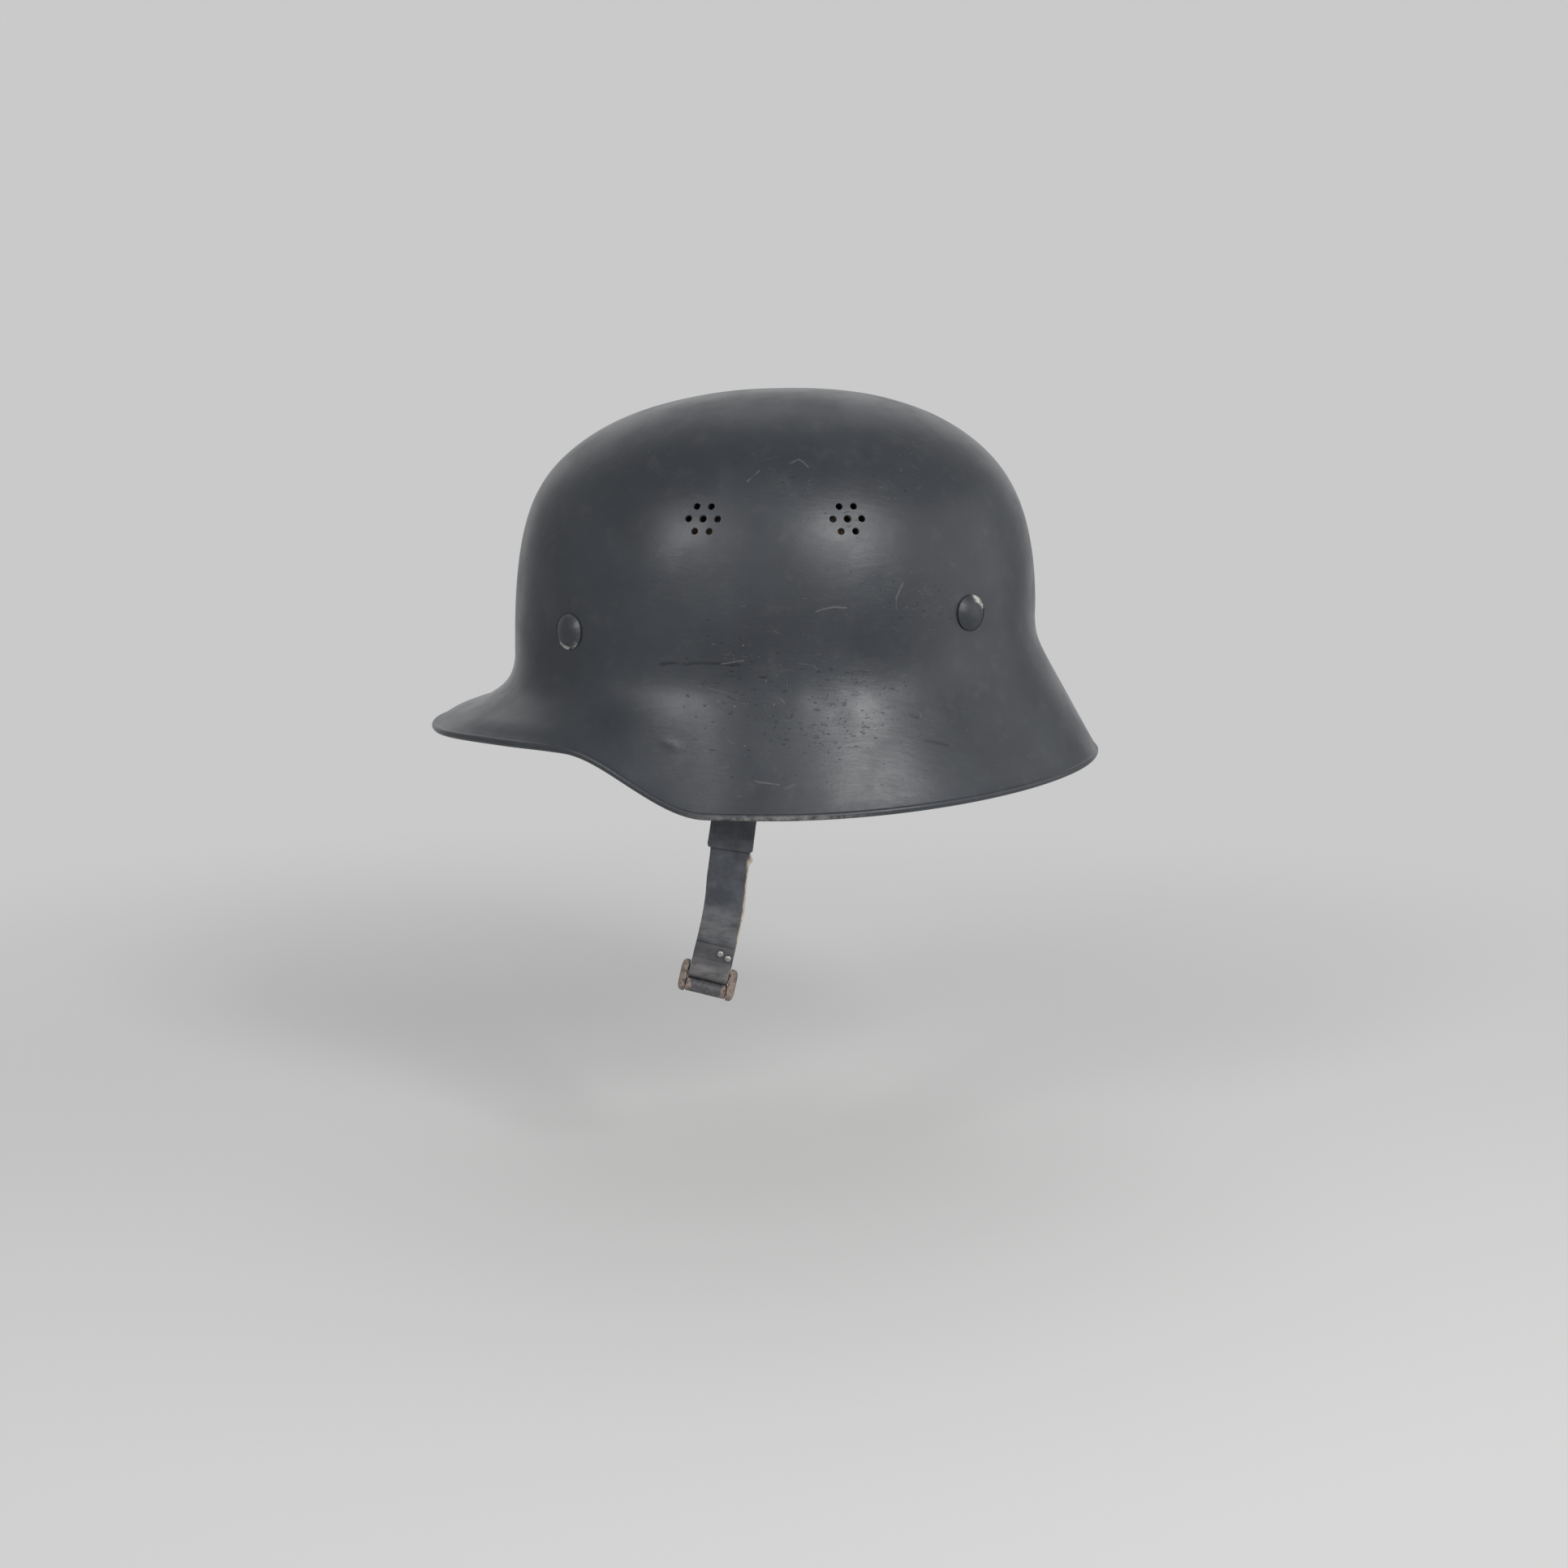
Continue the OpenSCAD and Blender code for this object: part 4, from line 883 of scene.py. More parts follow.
SHELL_PAINT = painted_steel("worn_slate_paint", DULL_BARE, on_left(SCRATCHES), on_left(NICKS))
print("scratches:", len(SCRATCHES), "nicks:", len(NICKS))
shell_now = places(shell_piece)
shell_wear = wear_at(shell_now)
carry_mark(shell_piece, "wear", shell_wear)
carry_mark(shell_piece, "rim_wear", rim_wear_at(shell_now))
finished(shell_piece, SHELL_PAINT, "helmet", ["shell"], sharp=30)
print("wear from", round(float(shell_wear.min()), 2), "to", round(float(shell_wear.max()), 2))

# %% [markdown]
# ## The rivets
#
# Four split rivets hold the liner. Each has a broad, low head that was painted with the shell, and two legs
# bent apart behind the outer band. The front left head has a painted reflection: a pale crescent along its
# lower edge and a faint pale ring round its edge. The rear left one has bright chips near its top.

# %% Split rivets
RIVET_HEAD, RIVET_DOME = 14.5, 2.6
RIVET_GRIP = SHEET + BAND_GAP + BAND_SHEET
GAP = 0.05


def rivet_skin():
    """A head and shank: a low dome with a thin upright edge, over a shank that reaches past the band."""
    half, shank_half = RIVET_HEAD / 2, RIVET_SHANK / 2
    ball = (half**2 + RIVET_DOME**2) / (2 * RIVET_DOME)
    crown = [(ball * sin(a), RIVET_DOME - ball + ball * cos(a) + GAP)
             for a in np.linspace(0.006, asin(half / ball) * 0.985, 22)]
    edge = [(half - 0.02, 0.28 + GAP), (half, 0.14 + GAP), (half - 0.06, GAP)]
    shank = [(shank_half + 0.3, GAP), (shank_half, GAP - 0.3)]
    shank += [(shank_half, -RIVET_GRIP - 1.4), (shank_half - 0.4, -RIVET_GRIP - 1.8)]
    return lathed(crown + edge + shank, 72)


def bent_leg(way):
    """One leg of a split rivet: a tongue that leaves the shank and lies back along the band."""
    rows = []
    for s in np.linspace(0, 1, 9):
        reach_out = way * (0.3 + 6.3 * s)
        level = -RIVET_GRIP - 1.75 + 0.55 * sin(pi * min(1, 1.4 * s)) - 0.15 * s
        half = 1.5 * (1 - 0.30 * s**4)
        thick = 0.38 * (1 - 0.25 * s)
        angles = np.linspace(0, 2 * pi, 12, False)
        rows.append(np.array([(half * cos(a), reach_out, level + thick * sin(a)) for a in angles]))
    return skin(rows)


SEATS = {
    "front_left": (rivet_places[0], 1), "front_right": (rivet_places[0], -1),
    "rear_left": (rivet_places[1], 1), "rear_right": (rivet_places[1], -1),
}


def pale_crescent(out, lean, start, width, middle, sharpness, cutoff):
    """A pale mask near a head's edge, from a share of its radius outwards and round one direction."""
    return ramp(out, start, width) * np.clip(np.cos(lean - middle) * sharpness - cutoff, 0, 1)


for name, (place, side) in SEATS.items():
    points, faces = joined(rivet_skin(), bent_leg(1), bent_leg(-1))
    rivet = make_mesh("split_rivet_" + name, carried(place, points) * (side, 1, 1), faces)
    out = np.hypot(points[:, 0], points[:, 1]) / (RIVET_HEAD / 2)
    lean = np.arctan2(points[:, 1], points[:, 0])
    head = points[:, 2] > 0
    # The front left head's crescent and faint ring are a painted reflection in the bare colour; the others
    # are bare chips.
    if name == "front_left":
        bare = 1.4 * pale_crescent(out, lean, 0.74, 0.12, -0.12, 2.4, 1.2)
        bare = bare + 0.06 * ramp(out, 0.74, 0.12)
    elif name == "rear_left":
        bare = 1.8 * pale_crescent(out, lean, 0.58, 0.14, pi - 0.68, 7.0, 5.5)
    else:
        bare = pale_crescent(out, lean, 0.80, 0.16, -2.0, 1.6, 0.8)
    carry_mark(rivet, "wear", np.where(head, 0.30 + 0.3 * ramp(out, 0.80, 0.16), 0.9))
    # This mark carries the bare chips, and on the front left head the painted reflection.
    carry_mark(rivet, "rim_wear", np.where(head, bare, 0.0))
    finished(rivet, HEAD_PAINT, "helmet", ["rivet_" + name])
print("rivets:", ", ".join(SEATS))

# %% [markdown]
# ## The liner's metal
#
# Seen from below there is a steel band against the shell, spring loops, a second band that carries the
# leather, and a ring of felt between that band and the leather so that the steel doesn't press on the head.
# The solids of the bands, spacers, springs, brackets, bales, small rivets and prong already have their true
# form. They only get a finish and, most of them, slightly softened edges. What is soft is made anew below.

# %% Metal that keeps its solid
KEPT = {  # the finish, and how far the edges are softened, in millimetres
    "outer_band": (ZINC, 0.18), "inner_band": (ZINC, 0.18), "rivet_spacers": (ZINC, 0.15),
    "bracket_left": (ZINC, 0.2), "bracket_right": (ZINC, 0.2), "band_springs": (SPRING_STEEL, 0),
    "leather_rivets": (BARE_STEEL, 0.3), "bracket_rivets": (BARE_STEEL, 0.3),
    "tab_rivets_left": (BARE_STEEL, 0.3), "tab_rivets_right": (BARE_STEEL, 0.3),
    "bale_left": (BARE_STEEL, 0), "bale_right": (BARE_STEEL, 0), "buckle_prong": (RUSTED_STEEL, 0.2),
}
for node, (finish, soft) in KEPT.items():
    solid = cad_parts[node]
    shaded(solid, finish, sharp=32)
    if soft:
        bevel = solid.modifiers.new("soft edges", "BEVEL")
        bevel.width, bevel.segments, bevel.limit_method = soft * MM, 2, "ANGLE"
        bevel.angle_limit = radians(40)
print("finished solids:", len(KEPT))

# %% [markdown]
# ## The liner's leather and felt
#
# All of the soft layers follow the same oval, so one function carries a section round it. The liner leans
# back a little, like the wearer's brow. One strip of pigskin is folded up outside the inner band and
# riveted there, goes down, turns under the felt and stands up inside as the sweatband.

# %% The liner's oval and the sweatband
SPRING_GAP, HIDE, FELT_THICK, SNUG = 4.4, 1.6, 3.0, 0.1
INNER_BAND_IN = SHEET + BAND_GAP + BAND_SHEET + SPRING_GAP
FOLD_IN = INNER_BAND_IN - SNUG - HIDE
FELT_IN = INNER_BAND_IN + BAND_SHEET + SNUG
HIDE_IN = FELT_IN + FELT_THICK + SNUG
HIDE_DROP, HIDE_RISE, FOLD_HEIGHT = 20.6, 9.0, 12.6
INNER_BAND_HEIGHT = 19.7
INNER_BAND_LOW = -HIDE_DROP + HIDE + SNUG
INNER_BAND_TOP = INNER_BAND_LOW + INNER_BAND_HEIGHT
FOLD_BEND = 1.7
in_liner = moved(0, 0, LINER_HEIGHT) @ turned("X", LINER_TILT)


def oval_point(inset, turn, z=0.0):
    """A point set in from the dome's oval, in the liner's own frame."""
    x, y = (HALF_WIDTH - inset) * np.sin(turn), -(HALF_LENGTH - inset) * np.cos(turn)
    return np.stack([x, y, z + 0 * x], -1)


def round_the_oval(section, count, waviness):
    """Carries inset, height and looseness triples round the oval as a closed ring, in the shell's frame.

    What is loose wavers in and out as it goes round.
    """
    rows = []
    for turn in np.arange(count) * 2 * pi / count:
        wave = waviness * (sin(7 * turn + 0.6) + 0.6 * sin(11 * turn + 2.0))
        rows.append(np.array([oval_point(i + wave * loose, turn, z) for i, z, loose in section]))
    points, faces = skin(rows, round_path=True)
    return carried(in_liner, points), faces


def strip_outline(line, thick, end=0.5):
    """The closed outline of a strip seen end on, from its middle line, with slightly rounded ends."""
    line = np.asarray(line, float)
    along = unit(np.gradient(line, axis=0))
    side = np.stack([-along[:, 1], along[:, 0]], -1) * (thick / 2)
    a, b = line[:1] - end * along[:1], line[-1:] + end * along[-1:]
    return np.vstack([a + 0.55 * side[:1], line + side, b + 0.55 * side[-1:], b - 0.55 * side[-1:],
                      (line - side)[::-1], a - 0.55 * side[:1]])


felt_heights = np.linspace(INNER_BAND_LOW + 0.9, INNER_BAND_TOP + 0.1, 12)
felt_line = [(FELT_IN + FELT_THICK / 2, z) for z in felt_heights]
felt_outline = [(i, z, 1) for i, z in strip_outline(felt_line, FELT_THICK - 0.3, 0.7)]
felt = make_mesh("felt_cushion", *round_the_oval(felt_outline, 160, 0.05))
finished(felt, FELT, "helmet", ["felt_ring"])


def fold_line():
    """The strip's middle line, from the top of the outer fold down, under and up inside."""
    low = -HIDE_DROP + HIDE / 2
    outer, inner, bend = FOLD_IN + HIDE / 2, HIDE_IN + HIDE / 2, FOLD_BEND
    arc = np.linspace(0.15, pi / 2 - 0.15, 6)
    line = [(outer, z) for z in np.linspace(-HIDE_DROP + FOLD_HEIGHT, low + bend, 8)]
    line += [(outer + bend * (1 - cos(a)), low + bend * (1 - sin(a))) for a in arc]
    line += [(i, low) for i in np.linspace(outer + bend, inner - bend, 5)]
    line += [(inner - bend * (1 - sin(a)), low + bend * (1 - cos(a))) for a in arc]
    return line + [(inner, z) for z in np.linspace(low + bend, HIDE_RISE + 0.4, 20)]


fold_outline = [(i, z, np.clip((z + HIDE_DROP - 4) / 18, 0, 1) * (i > HIDE_IN - 0.3))
                for i, z in strip_outline(fold_line(), HIDE)]
sweatband = make_mesh("leather_sweatband", *round_the_oval(fold_outline, 224, 0.14))
upright = carried(np.linalg.inv(in_liner), places(sweatband))
carry_mark(sweatband, "edge", np.clip((upright[:, 2] - HIDE_RISE + 0.9) / 1.3, 0, 1))
carry_mark(sweatband, "flesh", np.zeros(len(upright)))
finished(sweatband, LINER_LEATHER, "helmet", ["leather_liner"])
print("sweatband:", len(upright), "points, felt:", len(felt.data.vertices))

# %% [markdown]
# Above the sweatband the leather is cut into eight fingers that bend over into a dome. Each has a gathering
# hole near its tip and four air holes. Leather that has held a head for years isn't a true dome: each
# finger is crowned across and its edges curl, so the fingers get that here. They are made as tongues with
# two faces and rounded edges, and the holes are cut out of them, as they are punched on the real thing.

# %% Fingers
FINGERS, FINGER_DOME, FINGER_END = 8, 62.0, 74.0
FINGER_ROOT, FINGER_TIP, FINGER_HIDE = 0.94, 0.74, 1.15
HALF_SECTOR = pi / FINGERS
STRING_DROP = 8
STRING_CLIMB = FINGER_END - STRING_DROP
STRING_HOLE, AIR_HOLE, AIR_CLIMBS = 7.0, 4.5, (22, 40)
DOME_HALF_WIDTH, DOME_HALF_LENGTH = HALF_WIDTH - HIDE_IN - HIDE / 2, HALF_LENGTH - HIDE_IN - HIDE / 2
DOME_RADII = np.array([DOME_HALF_WIDTH, DOME_HALF_LENGTH, FINGER_DOME])


def crown_point(turn, climb, out=0.0):
    """A point of the fingers' dome at a turn in radians and a climb in degrees, out along its normal."""
    turn, climb = np.broadcast_arrays(np.asarray(turn, float), np.radians(np.asarray(climb, float)))
    p = np.stack([np.cos(climb) * np.sin(turn), -np.cos(climb) * np.cos(turn), np.sin(climb)], -1)
    p = p * DOME_RADII
    return p + np.asarray(out)[..., None] * unit(p / DOME_RADII**2) + (0, 0, HIDE_RISE)


def finger(turn, rows=40, columns=20):
    """A tongue of leather as a closed skin: two faces and rounded edges."""
    across = np.linspace(-1, 1, columns + 1)
    rings = []
    for s in np.linspace(0, 1, rows + 1):
        climb = -3 + (FINGER_END + 3) * s
        half = HALF_SECTOR * (FINGER_ROOT + (FINGER_TIP - FINGER_ROOT) * s)
        half *= sqrt(1 - 0.68 * max(0.0, (s - 0.88) / 0.12) ** 2.4)
        puff = 0.40 * (1 - across**2) * sin(pi * s) - 0.35 * np.abs(across) ** 5 * s
        spread = turn + half * across
        outer = crown_point(spread, climb, puff + FINGER_HIDE / 2)
        inner = crown_point(spread, climb, puff - FINGER_HIDE / 2)
        edges = crown_point(turn + half * np.array([1.012, -1.012]), climb, puff[[-1, 0]])
        rings.append(np.vstack([outer, edges[:1], inner[::-1], edges[1:]]))
    return skin(rings)


finger_turns = [HALF_SECTOR * (2 * i + 1) for i in range(FINGERS)]
fingers = make_mesh("leather_fingers", *joined(*[finger(t) for t in finger_turns]))
punches = []
for turn in finger_turns:
    holes = [(turn, STRING_CLIMB, STRING_HOLE / 2)]
    for climb in AIR_CLIMBS:
        holes += [(turn + side * HALF_SECTOR / 3, climb, AIR_HOLE / 2) for side in (-1, 1)]
    for t, climb, radius in holes:
        p = crown_point(t, climb)
        points, faces = lathed([(radius, -3), (radius, 3)], 22)
        punches.append((carried(facing(p, crown_point(t, climb, 1.0) - p), points), faces))
cut(fingers, *joined(*punches))
now = places(fingers)
sector_share = np.arctan2(now[:, 0] / DOME_HALF_WIDTH, -now[:, 1] / DOME_HALF_LENGTH) % (2 * HALF_SECTOR)
off_middle = np.abs(sector_share - HALF_SECTOR) / HALF_SECTOR
layer = np.linalg.norm((now - (0, 0, HIDE_RISE)) / DOME_RADII, axis=1)
carry_mark(fingers, "edge", ramp(off_middle, 0.70, 0.24))
carry_mark(fingers, "flesh", (layer > 1.004) * 0.9)
into_liner = in_liner.copy()
into_liner[:3, 3] *= MM
fingers.data.transform(Matrix(into_liner))
finished(fingers, LINER_LEATHER, "helmet", ["leather_liner"])
print("fingers:", len(finger_turns), "holes cut:", len(punches))

# %% [markdown]
# The drawstring goes out through each finger's hole and back in between the fingers, and is tied at the
# rear. It is a laid cord of three strands, so its section is a rounded trefoil that turns as it goes. The
# knot is an overhand one that lies on the string between the two rear fingers, with its ends left short.

# %% Drawstring
STRING, STRING_SWING, STRING_STEPS = 1.8, 2.3, 720
LAY = 5.0


def string_line(turn):
    """The string's middle line, which swings from one face of the fingers to the other."""
    return crown_point(turn, STRING_CLIMB, STRING_SWING * np.sin(FINGERS * (turn - HALF_SECTOR)))


def laid_cord(line, size, closed, sides=15):
    """A three-strand cord along a line of points, which turns once in each length of lay."""
    if closed:
        along = unit(np.roll(line, -1, 0) - np.roll(line, 1, 0))
        steps = np.linalg.norm(np.roll(line, -1, 0) - line, axis=1)
    else:
        along = unit(np.gradient(line, axis=0))
        steps = np.append(np.linalg.norm(np.diff(line, axis=0), axis=1), 0)
    travelled = np.append(0, np.cumsum(steps)[:-1])
    twists = 2 * pi * max(1, round(steps.sum() / LAY)) * travelled / steps.sum()
    angles = np.arange(sides) * 2 * pi / sides
    rings = []
    for p, a, twist in zip(line, along, twists):
        side = unit(np.cross(a, (0.0, 0.0, 1.0) if abs(a[2]) < 0.9 else (1.0, 0.0, 0.0)))
        rise = np.cross(side, a)
        radius = (size / 2 * (0.86 + 0.14 * np.cos(3 * (angles - twist))))[:, None]
        rings.append(p + radius * (np.cos(angles)[:, None] * side + np.sin(angles)[:, None] * rise))
    return skin(rings, round_path=closed)


def knot_line():
    """An overhand knot with two short ends, about 9 mm across, lying flat in X and Y."""
    s = np.linspace(-1, 1, 110)
    t = 1.25 * pi * s
    flare = 1 + 1.6 * np.clip(np.abs(s) - 0.78, 0, 1) / 0.22
    return np.stack([2.1 * np.sin(t) * flare, 1.9 * np.cos(2 * t / 1.9 + 0.2) * flare - 0.6,
                     0.95 * np.sin(1.5 * t + 0.3)], -1)


tie = string_line(np.array([pi]))[0]
knot_place = facing(tie + (0, 0, -0.4), crown_point(pi, STRING_CLIMB, 1.0) - crown_point(pi, STRING_CLIMB))
knot = laid_cord(carried(knot_place, knot_line()), STRING * 0.86, False)
laced = string_line(np.arange(STRING_STEPS) * 2 * pi / STRING_STEPS)
points, faces = joined(laid_cord(laced, STRING, True), knot)
drawstring = make_mesh("cotton_drawstring", carried(in_liner, points), faces)
finished(drawstring, CORD, "helmet", ["drawstring"])
string_length = np.linalg.norm(np.roll(laced, -1, 0) - laced, axis=1).sum()
print("drawstring:", round(float(string_length)), "mm round the crown")

# %% [markdown]
# ## Where the chin strap hangs
#
# A bracket on the outer band holds a wire bale, the bale holds a doubled leather tab, and the tab holds the
# strap. Each has its own frame, which repeats the solids' places: X points out of the head, Y to the rear
# and Z up. The buckle is skewed a little against its strap, front end up, as the old leather has stretched
# on one side.

# %% Frames of the strap and buckle
BALE_FORWARD, BALE_DROP, BALE_WIRE, WIRE_ROOM = 12.0, 9.0, 2.5, 0.06
BRACKET_DROP = 1
STRAP_SLANT, STRAP_LENGTH, BUCKLE_SKEW, BEND_RISE = 10.0, 105.0, 5.5, 22.0
RETURN_RISE, RETURN_LENGTH = 5.0, 11.2
band_in = SHEET + BAND_GAP
bale_turn = acos(BALE_FORWARD / (HALF_LENGTH - band_in))
band_normal = unit([sin(bale_turn) / (HALF_WIDTH - band_in), -cos(bale_turn) / (HALF_LENGTH - band_in)])
knuckle_out = BALE_WIRE / 2 + WIRE_ROOM + BAND_SHEET
band_facing = np.degrees(atan2(band_normal[1], band_normal[0]))
at_bracket = in_liner @ moved(*oval_point(band_in, bale_turn)) @ turned("Z", band_facing)
at_bale = at_bracket @ moved(SNUG / 2 + BAND_SHEET - knuckle_out, 0, -HIDE_DROP - knuckle_out - BRACKET_DROP)
at_strap = at_bale @ moved(0, 0, -BALE_DROP) @ turned("X", -STRAP_SLANT)
LOOP_BORE, STRAP_HIDE, STRAP_WIDTH = 1.4, 1.8, 16.0
bar_x = LOOP_BORE + STRAP_HIDE / 2 - SNUG / 2
buckle_in_strap = (moved(bar_x, 0, BEND_RISE - STRAP_LENGTH) @ turned("X", -BUCKLE_SKEW)
                   @ moved(0, 0, -BEND_RISE))
at_buckle = at_strap @ buckle_in_strap
print("buckle's bar at", carried(at_buckle, [0, 0, 0]).round(1), "mm")

# %% [markdown]
# ## Straps
#
# A strap is a strip with a rounded section, carried along a line of frames. It has a grain side, a flesh
# side and two cut edges, and the mesh is told which is which, so the finish can colour them. Nothing about
# old leather is straight: the strip's edges wander by a tenth of a millimetre or two, and it cups across
# its width.

# %% The strip
CORNER, END_SHRINK, END_BULGE = 0.45, 0.93, 0.35


def wander(s, seed, size):
    """A slow, repeatable wobble along a strip, from its distance in millimetres."""
    s = np.asarray(s, float)
    return size * (0.55 * np.sin(0.19 * s + seed) + 0.3 * np.sin(0.47 * s + 2.3 * seed)
                   + 0.15 * np.sin(1.13 * s + 4.1 * seed))


def strip_section(width, thick, corner, columns=14):
    """Across and out pairs round a strip's section, with a side label: 1 grain, -1 flesh, 0 edge."""
    half, t = width / 2, thick / 2
    bend = [(half - corner * (1 - sin(a)), (t - corner) + corner * cos(a)) for a in (0.5, 1.05)]
    points = [(y, t, 1) for y in np.linspace(-(half - corner), half - corner, columns)]
    points += [(y, x, 0) for y, x in bend + [(half, t - corner)]]
    points += [(y, -x, 0) for y, x in [(half, t - corner)] + bend[::-1]]
    return points + [(-y, -x, -side) for y, x, side in points]


def rounded_end(ring, middle, before):
    """A slightly smaller ring, a little past the end of a strip whose last two middles are given."""
    return middle + (np.array(ring) - middle) * END_SHRINK + END_BULGE * unit(middle - before)


def strip(centres, acrosses, outs, width, thick, seed=0.0, wobble=0.12, cup=0.0):
    """A strip of leather along frames. width and thick may be one number or one for each frame."""
    n = len(centres)
    widths, thicks = np.broadcast_to(width, n), np.broadcast_to(thick, n)
    run = np.append(0, np.cumsum(np.linalg.norm(np.diff(centres, axis=0), axis=1)))
    rings, labels = [], []
    for i in range(n):
        section = strip_section(widths[i], thicks[i], min(CORNER, 0.49 * thicks[i]))
        half = widths[i] / 2
        ring = []
        for y, x, side in section:
            share = y / half
            y = y + float(wander(run[i], seed + (1.7 if y > 0 else 0), wobble)) * abs(share)
            x = x + cup * (1 - share * share) + float(wander(run[i] + 3 * share, seed + 5, 0.05))
            ring.append(centres[i] + y * acrosses[i] + x * outs[i])
            labels.append((side, abs(share)))
        rings.append(ring)
    end_labels = [(0, 1)] * len(rings[0])
    first, last = rounded_end(rings[0], *centres[:2]), rounded_end(rings[-1], *centres[:-3:-1])
    points, faces = skin([np.array(r) for r in [first] + rings + [last]])
    return points, faces, np.array(end_labels + labels + end_labels, float)


def leather_marks(thing, labels):
    """Cut edges from the strip's labels: strong on the edge itself, and fading just inside it."""
    side, share = labels[:, 0], labels[:, 1]
    carry_mark(thing, "edge", np.where(side == 0, 0.62, ramp(share, 0.90, 0.10) * 0.35))
    carry_mark(thing, "flesh", (side < 0).astype(float))
    carry_mark(thing, "wear", np.zeros(len(labels)))


def smoothed(values, reach):
    """A moving average along a list of frames, which leaves its ends where they are."""
    values = np.asarray(values, float)
    averaged = values.copy()
    for i in range(len(values)):
        k = min(reach, i, len(values) - 1 - i)
        averaged[i] = values[i - k:i + k + 1].mean(axis=0)
    return averaged


def from_side(pairs, y=0.0):
    """X and Z pairs, as seen from the side, as points at one Y."""
    x, z = np.asarray(pairs, float).T
    return np.stack([x, 0 * x + y, z], -1)


def outward(line):
    """The directions square to a line of X and Z pairs, to its left as it runs."""
    along = unit(np.gradient(line, axis=0))
    return from_side(np.stack([-along[:, 1], along[:, 0]], -1))


print("strip helpers ready")

# %% [markdown]
# The left strap goes up between the tab's two layers. Its lower end goes behind the buckle's bar, under it,
# and comes up again in front, where two small rivets hold it. So the picture shows the returning end on
# top: a step where it ends, a dark crease where it starts to swell out over the bar, and the roll of leather
# on the bar itself, which is painted paler as a highlight. The bend sideways into the buckle is spread over
# a couple of centimetres, as leather does it.

# %% Left strap
STRAP_TOP = -19.5
THIN = 0.1
LOOP_SLACK, RETURN_STEP = 0.36, 0.45
BEND_ROWS, BEND_REACH = 21, 13
TAPER_ROWS, TAPER_THICK = 14, 1.25
FRAY_HEIGHT, FRAY_OUT = -58.0, 1.3
SAG = 0.45
ACROSS, OUT = (0.0, 1.0, 0.0), (1.0, 0.0, 0.0)


def left_strap_frames():
    """Centres, ways across and out, down behind the bar and up in front of it, and how many are straight."""
    straight = np.arange(STRAP_TOP - 0.6, BEND_RISE - STRAP_LENGTH, -1.0)
    middle, flat = LOOP_BORE + STRAP_HIDE / 2, STRAP_HIDE / 2 - LOOP_BORE
    line = [(-middle, z) for z in np.arange(BEND_RISE, 0.01, -1.0)]
    for a in np.linspace(0, pi, 17):
        radius = middle + LOOP_SLACK * sin(a)
        line.append((-radius * cos(a), -radius * sin(a)))
    line += [(flat + (middle - flat) * (1 - ease(0.0, RETURN_RISE, z)), z)
             for z in np.arange(RETURN_STEP, RETURN_LENGTH - 0.3, RETURN_STEP)]
    line = np.array(line)
    skewed = buckle_in_strap[:3, :3]
    centres = np.vstack([[(0, 0, z) for z in straight], carried(buckle_in_strap, from_side(line))])
    across = np.vstack([np.tile(ACROSS, (len(straight), 1)), np.tile(skewed @ ACROSS, (len(line), 1))])
    outs = np.vstack([np.tile(OUT, (len(straight), 1)), outward(line) @ skewed.T])
    bent = len(straight) + BEND_ROWS
    centres[:bent] = smoothed(centres[:bent + BEND_REACH], BEND_REACH)[:bent]
    centres[:bent, 1] += SAG * hump(centres[:bent, 2] + STRAP_LENGTH, 27, 8.0)
    return centres, unit(smoothed(across, BEND_REACH)), unit(outs), len(straight)


centres, acrosses, outs, straight_count = left_strap_frames()
thicks = np.full(len(centres), STRAP_HIDE - THIN)
thicks[-TAPER_ROWS:] = np.linspace(STRAP_HIDE - THIN, TAPER_THICK, TAPER_ROWS)
frayed = FRAY_OUT * hump(centres[:, 2], FRAY_HEIGHT, 1.5) * (np.arange(len(centres)) < straight_count)
centres[:, 1] += frayed / 2
points, faces, labels = strip(centres, acrosses, outs, STRAP_WIDTH + frayed, thicks, seed=0.7, cup=0.08)
strap_left = make_mesh("buckle_strap", carried(at_strap, points), faces)
print("left strap:", straight_count, "frames down it and", len(centres) - straight_count, "round the bar")

# %% [markdown]
# The strap's marks tell where it is worn, and carry one painted highlight. The dye has peeled off its rear
# edge, most of all where it is frayed, and off the corners of the loop. The end that returns over the bar is
# dyed on what would be its flesh side. The roll over the bar is painted paler as a highlight, through the
# same mark as the scuffs, which are a band above it and one pale spot.

# %% Marks on the left strap
height = points[:, 2]
out, rear, rise = carried(np.linalg.inv(buckle_in_strap), points).T
from_rear = STRAP_WIDTH / 2 - np.where(height > BEND_RISE - STRAP_LENGTH, points[:, 1], rear)
peel = 1.25 + 1.6 * hump(height, -58.8, 2.4) + 0.35 * np.sin(height * 0.9)
peel = peel * ease(-100, -88, height) * (1 - ease(-57, -55.5, height))
peeled = np.clip(1.15 - from_rear / np.maximum(peel, 0.05), 0, 1) * (labels[:, 0] > 0)
rear_edge = (from_rear < 0.5) * ease(-100, -90, height)
edges = np.where(labels[:, 0] == 0, 0.42 + 0.58 * rear_edge, 0.0)
corner = np.clip((np.abs(rear) - STRAP_WIDTH / 2 + 1.9) / 0.7, 0, 1) * (out > 0)
edges = np.maximum(edges, 0.72 * corner * (1 - ease(2.6, 4.4, rise)))
carry_mark(strap_left, "edge", np.maximum(edges, peeled))
dyed = 0.88 * ease(-2.4, -0.2, out) * (rise < BEND_RISE - 6)
carry_mark(strap_left, "flesh", (labels[:, 0] < 0) * (1 - dyed))
